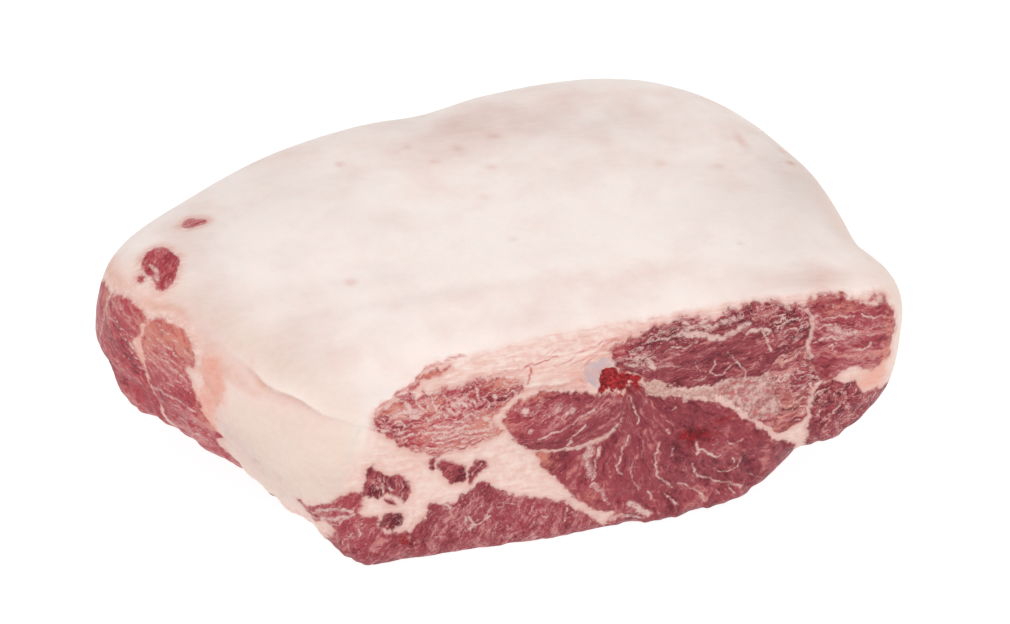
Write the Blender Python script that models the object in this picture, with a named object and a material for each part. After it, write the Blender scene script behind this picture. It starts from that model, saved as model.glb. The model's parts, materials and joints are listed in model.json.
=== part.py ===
"""A raw bone-in pork butt, lying fat side up: lean meat under a cap of fat, cut across at the front.

X runs along the cut face to the right, the cut face looks towards -Y, and Z is up. The origin is
under the middle of the joint, on the surface that it lies on. Sizes are in millimetres.
"""
from collections import namedtuple

import bmesh
import bpy
import numpy as np

MM = 0.001
GAP = 0.3                # clearance that neighbouring solids keep

# ---- outer form ---------------------------------------------------------------------------------
# The joint is a block trimmed by flat sides round a point inside it. A side has a bearing (0 faces
# the front, 90 the right end), a tilt upwards, a distance from the middle, and an edge: "round"
# where fat rolls over, "knife" where the meat was cut or is pressed flat.
MIDDLE = np.array([10.0, -8.0, 46.0])
Side = namedtuple("Side", "bearing tilt distance edge")
SIDES = {
    "cap": Side(128, 87, 50, "round"),
    "back": Side(191, 13, 94, "round"),
    "back_left": Side(-138, 19, 122, "round"),
    "back_right": Side(139, 10, 133, "round"),
    "right": Side(91, 4, 130, "round"),
    "left": Side(-49, -5, 121, "round"),
    "front_slope": Side(-13, 58, 82, "round"),
    "cut": Side(0, 5, 84, "knife"),
    "base": Side(180, -90, 46.4, "knife"),
    "end": Side(-104, -10, 166, "knife"),
    "right_under": Side(73, -53, 93, "knife"),
    "left_under": Side(-66, -48, 104, "knife"),
    "back_under": Side(188, -53, 76, "knife"),
}
ROUND_POWER = 8.0        # how tightly the sides meet: higher is sharper
KNIFE_POWER = 18.0

# Swells stand out from the trimmed block and dips sink in: place, height, and reach along X, Y, Z.
Swell = namedtuple("Swell", "place height reach")
SWELLS = {
    "right_lower": Swell((140, -53, 50), 6, (24, 24, 24)),
    "right_shoulder": Swell((143, -70, 78), 5, (12, 12, 12)),
    "right_waist": Swell((134, -44, 86), -3, (8, 8, 8)),
    "right_rear": Swell((136, -4, 80), 2.5, (16, 16, 16)),
    "rear_left_fall": Swell((-108, 26, 95), -2.5, (24, 24, 24)),
    "rear_dip": Swell((-4, 67, 92), -2.5, (12, 12, 12)),
    "near_corner": Swell((-66, -92, 4), 4, (10, 10, 10)),
    "end_lower": Swell((-134, -16, 30), 4, (10, 10, 10)),
    "lobe": Swell((122, -94, 28), 5, (9, 9, 9)),
    "lobe_notch": Swell((102, -94, 18), -4, (8, 8, 8)),
    "main_muscle": Swell((50, -92, 36), 2.2, (24, 20, 18)),
    "eye_muscle": Swell((6, -92, 55), 1.8, (16, 20, 9)),
    "upper_left_muscle": Swell((-32, -92, 66), 1.6, (20, 20, 10)),
    "lower_muscle": Swell((-6, -92, 12), 1.6, (30, 20, 8)),
    "upper_right_muscle": Swell((62, -92, 80), 1.8, (30, 20, 7)),
    "right_muscle": Swell((124, -88, 72), 1.8, (10, 20, 12)),
}

# Creases are valleys that follow a line over the surface: points, depth, and half width.
Crease = namedtuple("Crease", "points depth reach")
CREASES = {
    "left_fold": Crease(((-118, -34, 93), (-107, -56, 84), (-90, -72, 76), (-68, -89, 68)), 1.8, 4.0),
    "cap_valley": Crease(((-76, -50, 97), (-40, -57, 98), (0, -62, 98), (36, -62, 97)), 1.2, 9.0),
    "eye_seam": Crease(((-14, -92, 60), (-8, -92, 48), (4, -92, 41), (16, -92, 40), (26, -92, 46)),
                       1.4, 3.5),
    "bone_seam": Crease(((-10, -92, 72), (16, -92, 72), (50, -92, 70), (80, -92, 74)), 1.2, 4.0),
    "right_seam": Crease(((102, -90, 90), (104, -90, 78), (103, -90, 66), (105, -90, 44)), 1.6, 3.5),
    "lower_seam": Crease(((-56, -92, 22), (-32, -92, 26), (-10, -92, 24), (14, -92, 13), (36, -92, 5)),
                         1.4, 3.5),
}

# ---- fat ----------------------------------------------------------------------------------------
# Depth of fat over each side. A side that isn't named here is bare meat.
FAT_DEPTH = {"cap": 11, "back": 9, "back_left": 9, "back_right": 8, "right": 5, "left": 8,
             "front_slope": 7}
BARE_REACH = 25          # how far the meat's own form passes a bare side, so that it is trimmed there
MEAT_SWELLS = {
    "end_bundle": Swell((-130, -24, 46), 24, (25, 36, 33)),
    "near_corner_lean": Swell((-72, -92, 8), 14, (20, 18, 15)),
    "thin_fat_right": Swell((92, -90, 90), 16, (38, 15, 8)),
}
# Outlines on the cut face: X and Z, clockwise as seen from the front. Fat runs in between the
# muscles as a pale wedge from the left, and as a band under the cap, left of the bone.
SEAM_FAT_OUTLINES = {
    "wedge": ((-80, 30), (-78, 50), (-60, 57), (-50, 55.5), (-44, 51.5), (-36, 49.5), (-24, 50),
              (-15, 53), (-11, 55.5), (-6, 50), (-1, 43), (5, 33), (12, 25), (16, 17), (23, 9),
              (32, 5), (24, 5.5), (14, 15), (2, 22), (-12, 29), (-20, 35), (-29, 28.5), (-39, 28.5),
              (-43, 21.5), (-49, 22), (-53, 28), (-65, 30)),
    "band": ((-18, 83), (-12, 95), (12, 98), (36, 95), (34, 87), (28, 81.5), (20, 78.5), (17, 73),
             (10, 69.5), (2, 70), (-5, 74), (-11, 79)),
}
SEAM_FAT_DEPTH = 70

# ---- blade bone ---------------------------------------------------------------------------------
BONE_OUTLINE = ((20, 67), (20, 76), (28, 78.5), (38, 73.5), (43, 66.5), (52, 62.5), (60, 60.5),
                (70, 61.5), (88, 62), (104, 57.5), (107, 51), (100, 46.5), (92, 43.5), (84, 43.5),
                (77, 49.5), (67, 56), (56, 58), (47, 60), (40, 64), (33, 63), (25, 63.5))
BONE_DEPTH = 120
DEEP_END_SCALE = 0.6     # a seam or bone narrows to this share of its size at its deep end
FACE_CLEARANCE = 25      # how far in front of the cut face an outline starts, to be trimmed to it

# ---- mesh ---------------------------------------------------------------------------------------
BLANK = (290.0, 190.0, 98.0)      # block that a form's mesh starts from
FORM_CELLS = (44, 16, 15)         # its cells along X, Y and Z
MEAT_CELLS = (30, 16, 11)
OUTLINE_STEPS = 2                 # points on a smoothed outline for each one given

Finish = namedtuple("Finish", "color roughness")
FINISHES = {
    "fat": Finish((0.80, 0.68, 0.63, 1.0), 0.45),
    "lean": Finish((0.36, 0.06, 0.07, 1.0), 0.42),
    "bone": Finish((0.74, 0.46, 0.42, 1.0), 0.55),
}


def side_normal(side):
    bearing, tilt = np.radians(side.bearing), np.radians(side.tilt)
    level = np.cos(tilt)
    return np.array([np.sin(bearing) * level, -np.cos(bearing) * level, np.sin(tilt)])


def distance_to_line(points, line):
    """Shortest distance from each point to a line of straight runs."""
    nearest = np.full(len(points), np.inf)
    for start, end in zip(line[:-1], line[1:]):
        run = end - start
        along = np.clip((points - start) @ run / (run @ run), 0.0, 1.0)
        nearest = np.minimum(nearest, np.linalg.norm(points - start - along[:, None] * run, axis=1))
    return nearest


def trimmed_block(rays, sides):
    """Distance from the middle to the block's surface along each ray."""
    pull = {"round": np.zeros(len(rays)), "knife": np.zeros(len(rays))}
    power = {"round": ROUND_POWER, "knife": KNIFE_POWER}
    for side in sides.values():
        facing = np.maximum(rays @ side_normal(side), 0.0)
        pull[side.edge] += (facing / side.distance) ** power[side.edge]
    rounded = pull["round"] ** (KNIFE_POWER / ROUND_POWER)
    return (rounded + pull["knife"]) ** (-1.0 / KNIFE_POWER)


def form_surface(rays, sides, swells, creases, grow=0.0):
    """Points on a form: the trimmed block with its swells and creases, grown by a clearance."""
    points = MIDDLE + rays * trimmed_block(rays, sides)[:, None]
    rise = np.full(len(rays), grow)
    for swell in swells.values():
        offset = (points - np.array(swell.place)) / np.array(swell.reach)
        rise += swell.height * np.exp(-0.5 * (offset ** 2).sum(axis=1))
    for crease in creases.values():
        away = distance_to_line(points, np.array(crease.points, float))
        rise -= crease.depth * np.exp(-0.5 * (away / crease.reach) ** 2)
    return points + rays * rise[:, None]


def meat_sides():
    """The sides of the lean: inside the fat, and past the bare sides."""
    return {name: side._replace(distance=side.distance - FAT_DEPTH.get(name, -BARE_REACH))
            for name, side in SIDES.items()}


def new_object(name, mesh):
    obj = bpy.data.objects.new(name, mesh)
    bpy.context.scene.collection.objects.link(obj)
    return obj


def mesh_from(bm, name):
    mesh = bpy.data.meshes.new(name)
    bm.to_mesh(mesh)
    bm.free()
    return mesh


def gridded_block(cells):
    """A closed block of BLANK's size, its faces cut into a grid."""
    bm = bmesh.new()
    bmesh.ops.create_cube(bm, size=1.0)
    bmesh.ops.scale(bm, vec=BLANK, verts=bm.verts)
    for axis, count in enumerate(cells):
        along = [edge for edge in bm.edges
                 if abs(edge.verts[0].co[axis] - edge.verts[1].co[axis]) > 1.0]
        bmesh.ops.subdivide_edges(bm, edges=along, cuts=count - 1, use_grid_fill=True)
    return bm


def form_mesh(name, cells, sides, swells, creases, grow=0.0, floor=None):
    """A block whose vertices are drawn out along rays from the middle to a form's surface."""
    bm = gridded_block(cells)
    rays = np.array([vert.co.normalized() for vert in bm.verts], float)
    points = form_surface(rays, sides, swells, creases, grow)
    if floor is not None:
        points[:, 2] = np.maximum(points[:, 2], floor)
    for vert, point in zip(bm.verts, points):
        vert.co = point * MM
    bmesh.ops.triangulate(bm, faces=bm.faces)
    return mesh_from(bm, name)


def smooth_outline(outline):
    """More points along a closed outline, on a Catmull-Rom curve through those given."""
    knots = np.array(outline, float)
    before, after, later = np.roll(knots, 1, axis=0), np.roll(knots, -1, axis=0), np.roll(knots, -2, axis=0)
    rows = []
    for step in range(OUTLINE_STEPS):
        t = step / OUTLINE_STEPS
        rows.append(0.5 * (2 * knots + (after - before) * t
                           + (2 * before - 5 * knots + 4 * after - later) * t ** 2
                           + (3 * knots - before - 3 * after + later) * t ** 3))
    return np.stack(rows, axis=1).reshape(-1, 2)


def grown_outline(outline, distance):
    """The outline moved outwards by a distance. It runs clockwise as seen from the front."""
    run = np.roll(outline, -1, axis=0) - outline
    run /= np.linalg.norm(run, axis=1)[:, None]
    outward = np.stack([-run[:, 1], run[:, 0]], axis=1)
    mitre = outward + np.roll(outward, 1, axis=0)
    return outline + distance * 2 * mitre / (mitre ** 2).sum(axis=1)[:, None]


def prism_mesh(name, outline, depth, grow=0.0):
    """A solid with an outline of the cut face, running back into the joint and narrowing."""
    front = MIDDLE[1] - SIDES["cut"].distance - FACE_CLEARANCE
    shape = grown_outline(smooth_outline(outline), grow)
    bm = bmesh.new()
    verts = [bm.verts.new((x * MM, front * MM, z * MM)) for x, z in shape]
    face = bm.faces.new(verts)
    extruded = bmesh.ops.extrude_face_region(bm, geom=[face])
    far = [item for item in extruded["geom"] if isinstance(item, bmesh.types.BMVert)]
    bmesh.ops.translate(bm, vec=(0, (depth + FACE_CLEARANCE + grow) * MM, 0), verts=far)
    centre = sum((vert.co for vert in far), far[0].co * 0) / len(far)
    for vert in far:
        vert.co = centre + (vert.co - centre) * DEEP_END_SCALE
    bmesh.ops.recalc_face_normals(bm, faces=bm.faces)
    bmesh.ops.triangulate(bm, faces=bm.faces)
    return mesh_from(bm, name)


def cutter(name, mesh):
    """A hidden object that others are cut with."""
    obj = new_object(name, mesh)
    obj.hide_render = True
    obj.display_type = 'WIRE'
    return obj


def boolean(obj, operation, tool):
    modifier = obj.modifiers.new(tool.name, 'BOOLEAN')
    modifier.operation = operation
    modifier.object = tool


def finish_material(name):
    material = bpy.data.materials.new(name)
    material.use_nodes = True
    shader = material.node_tree.nodes["Principled BSDF"]
    shader.inputs["Base Color"].default_value = FINISHES[name].color
    shader.inputs["Roughness"].default_value = FINISHES[name].roughness
    return material


def joint_mesh(name):
    return form_mesh(name, FORM_CELLS, SIDES, SWELLS, CREASES, floor=0.0)


def meat_mesh(name, grow=0.0):
    return form_mesh(name, MEAT_CELLS, meat_sides(), MEAT_SWELLS, {}, grow)


def build_lean():
    lean = new_object("lean", joint_mesh("lean"))
    boolean(lean, 'INTERSECT', cutter("meat_form", meat_mesh("meat_form")))
    for seam, outline in SEAM_FAT_OUTLINES.items():
        name = seam + "_clearance"
        boolean(lean, 'DIFFERENCE', cutter(name, prism_mesh(name, outline, SEAM_FAT_DEPTH, GAP)))
    bone_mesh = prism_mesh("bone_clearance", BONE_OUTLINE, BONE_DEPTH, GAP)
    boolean(lean, 'DIFFERENCE', cutter("bone_clearance", bone_mesh))
    lean.data.materials.append(finish_material("lean"))


def build_fat_cap():
    """All of the joint that isn't meat: the cap, and the fat that runs in from it."""
    hollow = cutter("meat_clearance", meat_mesh("meat_clearance", GAP))
    for seam, outline in SEAM_FAT_OUTLINES.items():
        name = seam + "_fat"
        boolean(hollow, 'DIFFERENCE', cutter(name, prism_mesh(name, outline, SEAM_FAT_DEPTH)))
    fat = new_object("fat_cap", joint_mesh("fat_cap"))
    boolean(fat, 'DIFFERENCE', hollow)
    fat.data.materials.append(finish_material("fat"))


def build_blade_bone():
    bone = new_object("blade_bone", prism_mesh("blade_bone", BONE_OUTLINE, BONE_DEPTH))
    boolean(bone, 'INTERSECT', cutter("joint_form", joint_mesh("joint_form")))
    bone.data.materials.append(finish_material("bone"))


def main():
    for obj in list(bpy.data.objects):
        bpy.data.objects.remove(obj, do_unlink=True)
    build_lean()
    build_fat_cap()
    build_blade_bone()


if __name__ == "__main__":
    main()
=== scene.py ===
"""Looks of a raw bone-in pork butt: its fat cap, the muscles of its cut face, its end and its bone.

The joint lies fat side up. X runs along the cut face to the right, the cut face looks towards -Y
and Z is up, as in the model that it dresses. Tables are in millimetres; the scene is in metres.
The cut face is drawn from a map of its muscles, seen from the front: X and Z of each outline. The
near end is drawn from a second map: E runs along the end to the right, and Z. The cap has a
third, seen from above. Each map becomes values on the vertices, and the materials read those.
"""
import json
from collections import namedtuple

import bmesh
import bpy
import numpy as np
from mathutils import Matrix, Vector

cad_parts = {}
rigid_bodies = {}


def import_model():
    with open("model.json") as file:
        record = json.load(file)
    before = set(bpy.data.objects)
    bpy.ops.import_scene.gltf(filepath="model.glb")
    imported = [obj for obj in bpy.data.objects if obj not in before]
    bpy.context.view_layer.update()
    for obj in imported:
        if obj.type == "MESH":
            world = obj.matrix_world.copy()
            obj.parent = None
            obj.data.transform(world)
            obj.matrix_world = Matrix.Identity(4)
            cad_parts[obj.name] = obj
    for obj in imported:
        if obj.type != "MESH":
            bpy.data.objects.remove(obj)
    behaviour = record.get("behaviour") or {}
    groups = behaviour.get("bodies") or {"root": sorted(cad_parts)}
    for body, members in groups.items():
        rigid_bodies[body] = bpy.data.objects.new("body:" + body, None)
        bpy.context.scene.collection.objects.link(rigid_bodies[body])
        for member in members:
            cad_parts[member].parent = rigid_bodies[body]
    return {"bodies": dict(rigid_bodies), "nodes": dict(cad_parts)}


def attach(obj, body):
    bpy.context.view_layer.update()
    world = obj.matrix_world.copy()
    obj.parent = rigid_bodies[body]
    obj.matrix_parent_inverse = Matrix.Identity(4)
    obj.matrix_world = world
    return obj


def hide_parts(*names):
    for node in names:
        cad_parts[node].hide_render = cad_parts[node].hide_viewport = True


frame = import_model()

bl_info = {
    "name": "Pork Butt Finish",
    "version": (1, 0, 0),
    "blender": (4, 5, 0),
    "location": "View3D > Sidebar > Pork Butt",
    "description": "Dresses the solids of a raw pork butt with fat, muscle, marbling and bone",
    "category": "Object",
}

MM = 0.001
BODY = "root"
X_AXIS, Y_AXIS, Z_AXIS = range(3)

# ---- outer form, as in the solids ---------------------------------------------------------------
MIDDLE = np.array([10.0, -8.0, 46.0])            # rays and the sides' distances start here
# A side's bearing from the cut face and its tilt in degrees, its distance, and its kind of edge.
Side = namedtuple("Side", "bearing tilt distance edge")
SIDES = {
    "cap": Side(128, 87, 50, "round"),
    "back": Side(191, 13, 94, "round"),
    "back_left": Side(-138, 19, 122, "round"),
    "back_right": Side(139, 10, 133, "round"),
    "right": Side(91, 4, 130, "round"),
    "left": Side(-49, -5, 121, "round"),
    "front_slope": Side(-13, 58, 82, "round"),
    "cut": Side(0, 5, 84, "knife"),
    "base": Side(180, -90, 46.4, "knife"),
    "end": Side(-104, -10, 166, "knife"),
    "right_under": Side(73, -53, 93, "knife"),
    "left_under": Side(-66, -48, 104, "knife"),
    "back_under": Side(188, -53, 76, "knife"),
}
ROUND_POWER = 8.0                # the higher, the sharper the edge
KNIFE_POWER = 18.0

Swell = namedtuple("Swell", "place height reach")
SWELLS = {
    "right_lower": Swell((140, -53, 50), 6, (24, 24, 24)),
    "right_shoulder": Swell((143, -70, 78), 5, (12, 12, 12)),
    "right_waist": Swell((134, -44, 86), -3, (8, 8, 8)),
    "right_rear": Swell((136, -4, 80), 2.5, (16, 16, 16)),
    "rear_left_fall": Swell((-108, 26, 95), -2.5, (24, 24, 24)),
    "rear_dip": Swell((-4, 67, 92), -2.5, (12, 12, 12)),
    "near_corner": Swell((-66, -92, 4), 4, (10, 10, 10)),
    "end_lower": Swell((-134, -16, 30), 4, (10, 10, 10)),
    "lobe": Swell((122, -94, 28), 5, (9, 9, 9)),
    "lobe_notch": Swell((102, -94, 18), -4, (8, 8, 8)),
    "main_muscle": Swell((50, -92, 36), 2.2, (24, 20, 18)),
    "eye_muscle": Swell((6, -92, 55), 1.8, (16, 20, 9)),
    "upper_left_muscle": Swell((-32, -92, 66), 1.6, (20, 20, 10)),
    "lower_muscle": Swell((-6, -92, 12), 1.6, (30, 20, 8)),
    "upper_right_muscle": Swell((62, -92, 80), 1.8, (30, 20, 7)),
    "right_muscle": Swell((124, -88, 72), 1.8, (10, 20, 12)),
}

Crease = namedtuple("Crease", "points depth reach")
CREASES = {
    "left_fold": Crease(((-118, -34, 93), (-107, -56, 84), (-90, -72, 76), (-68, -89, 68)), 1.8, 4.0),
    "cap_valley": Crease(((-76, -50, 97), (-40, -57, 98), (0, -62, 98), (36, -62, 97)), 1.2, 9.0),
    "eye_seam": Crease(((-14, -92, 60), (-8, -92, 48), (4, -92, 41), (16, -92, 40), (26, -92, 46)),
                       1.4, 3.5),
    "bone_seam": Crease(((-10, -92, 72), (16, -92, 72), (50, -92, 70), (80, -92, 74)), 1.2, 4.0),
    "right_seam": Crease(((102, -90, 90), (104, -90, 78), (103, -90, 66), (105, -90, 44)), 1.6, 3.5),
    "lower_seam": Crease(((-56, -92, 22), (-32, -92, 26), (-10, -92, 24), (14, -92, 13), (36, -92, 5)),
                         1.4, 3.5),
}

# How deep the fat is at each side. The other sides are bare, and there the meat's form runs on past
# the joint's by BARE_REACH, so that the joint's own surface cuts it.
FAT_DEPTH = {"cap": 11, "back": 9, "back_left": 9, "back_right": 8, "right": 5, "left": 8,
             "front_slope": 7}
BARE_REACH = 25
MEAT_SWELLS = {
    "end_bundle": Swell((-130, -24, 46), 24, (25, 36, 33)),
    "near_corner_lean": Swell((-72, -92, 8), 14, (20, 18, 15)),
    "thin_fat_right": Swell((92, -90, 90), 16, (38, 15, 8)),
}
# Thick seams of fat and the bone, as outlines on the cut face that run back into the joint.
SEAM_FAT_OUTLINES = {
    "wedge": ((-80, 30), (-78, 50), (-60, 57), (-50, 55.5), (-44, 51.5), (-36, 49.5), (-24, 50), (-15, 53),
        (-11, 55.5), (-6, 50), (-1, 43), (5, 33), (12, 25), (16, 17), (23, 9), (32, 5), (24, 5.5), (14, 15),
        (2, 22), (-12, 29), (-20, 35), (-29, 28.5), (-39, 28.5), (-43, 21.5), (-49, 22), (-53, 28),
        (-65, 30)),
    "band": ((-18, 83), (-12, 95), (12, 98), (36, 95), (34, 87), (28, 81.5), (20, 78.5), (17, 73),
        (10, 69.5), (2, 70), (-5, 74), (-11, 79)),
}
SEAM_FAT_DEPTH = 70
BONE_OUTLINE = ((20, 67), (20, 76), (28, 78.5), (38, 73.5), (43, 66.5), (52, 62.5), (60, 60.5), (70, 61.5),
    (88, 62), (104, 57.5), (107, 51), (100, 46.5), (92, 43.5), (84, 43.5), (77, 49.5), (67, 56), (56, 58),
    (47, 60), (40, 64), (33, 63), (25, 63.5))
BONE_DEPTH = 120
DEEP_END_SCALE = 0.6             # size of their deep end
FACE_CLEARANCE = 25              # how far they start in front of the cut face

# ---- mesh density -------------------------------------------------------------------------------
BLANK = (290.0, 190.0, 98.0)     # block that a form's mesh starts from
SKIN_CELL = 3.1                  # its cells, before the seen sides are divided further
FACE_CUTS = 5                    # cuts of each cell of the cut face
END_CUTS = 2                     # of the near end
CAP_CUTS = 1                     # of the top
MEAT_CELLS = (60, 32, 22)        # cells of the meat's form along each axis
DIVIDED = 0.6                    # share of a cell below which an edge isn't divided again
SIDE_GAP = 0.01                  # within this of a side, a point is on it
CURVE_STEPS = 3                  # points for each that an outline or a line gives

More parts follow.
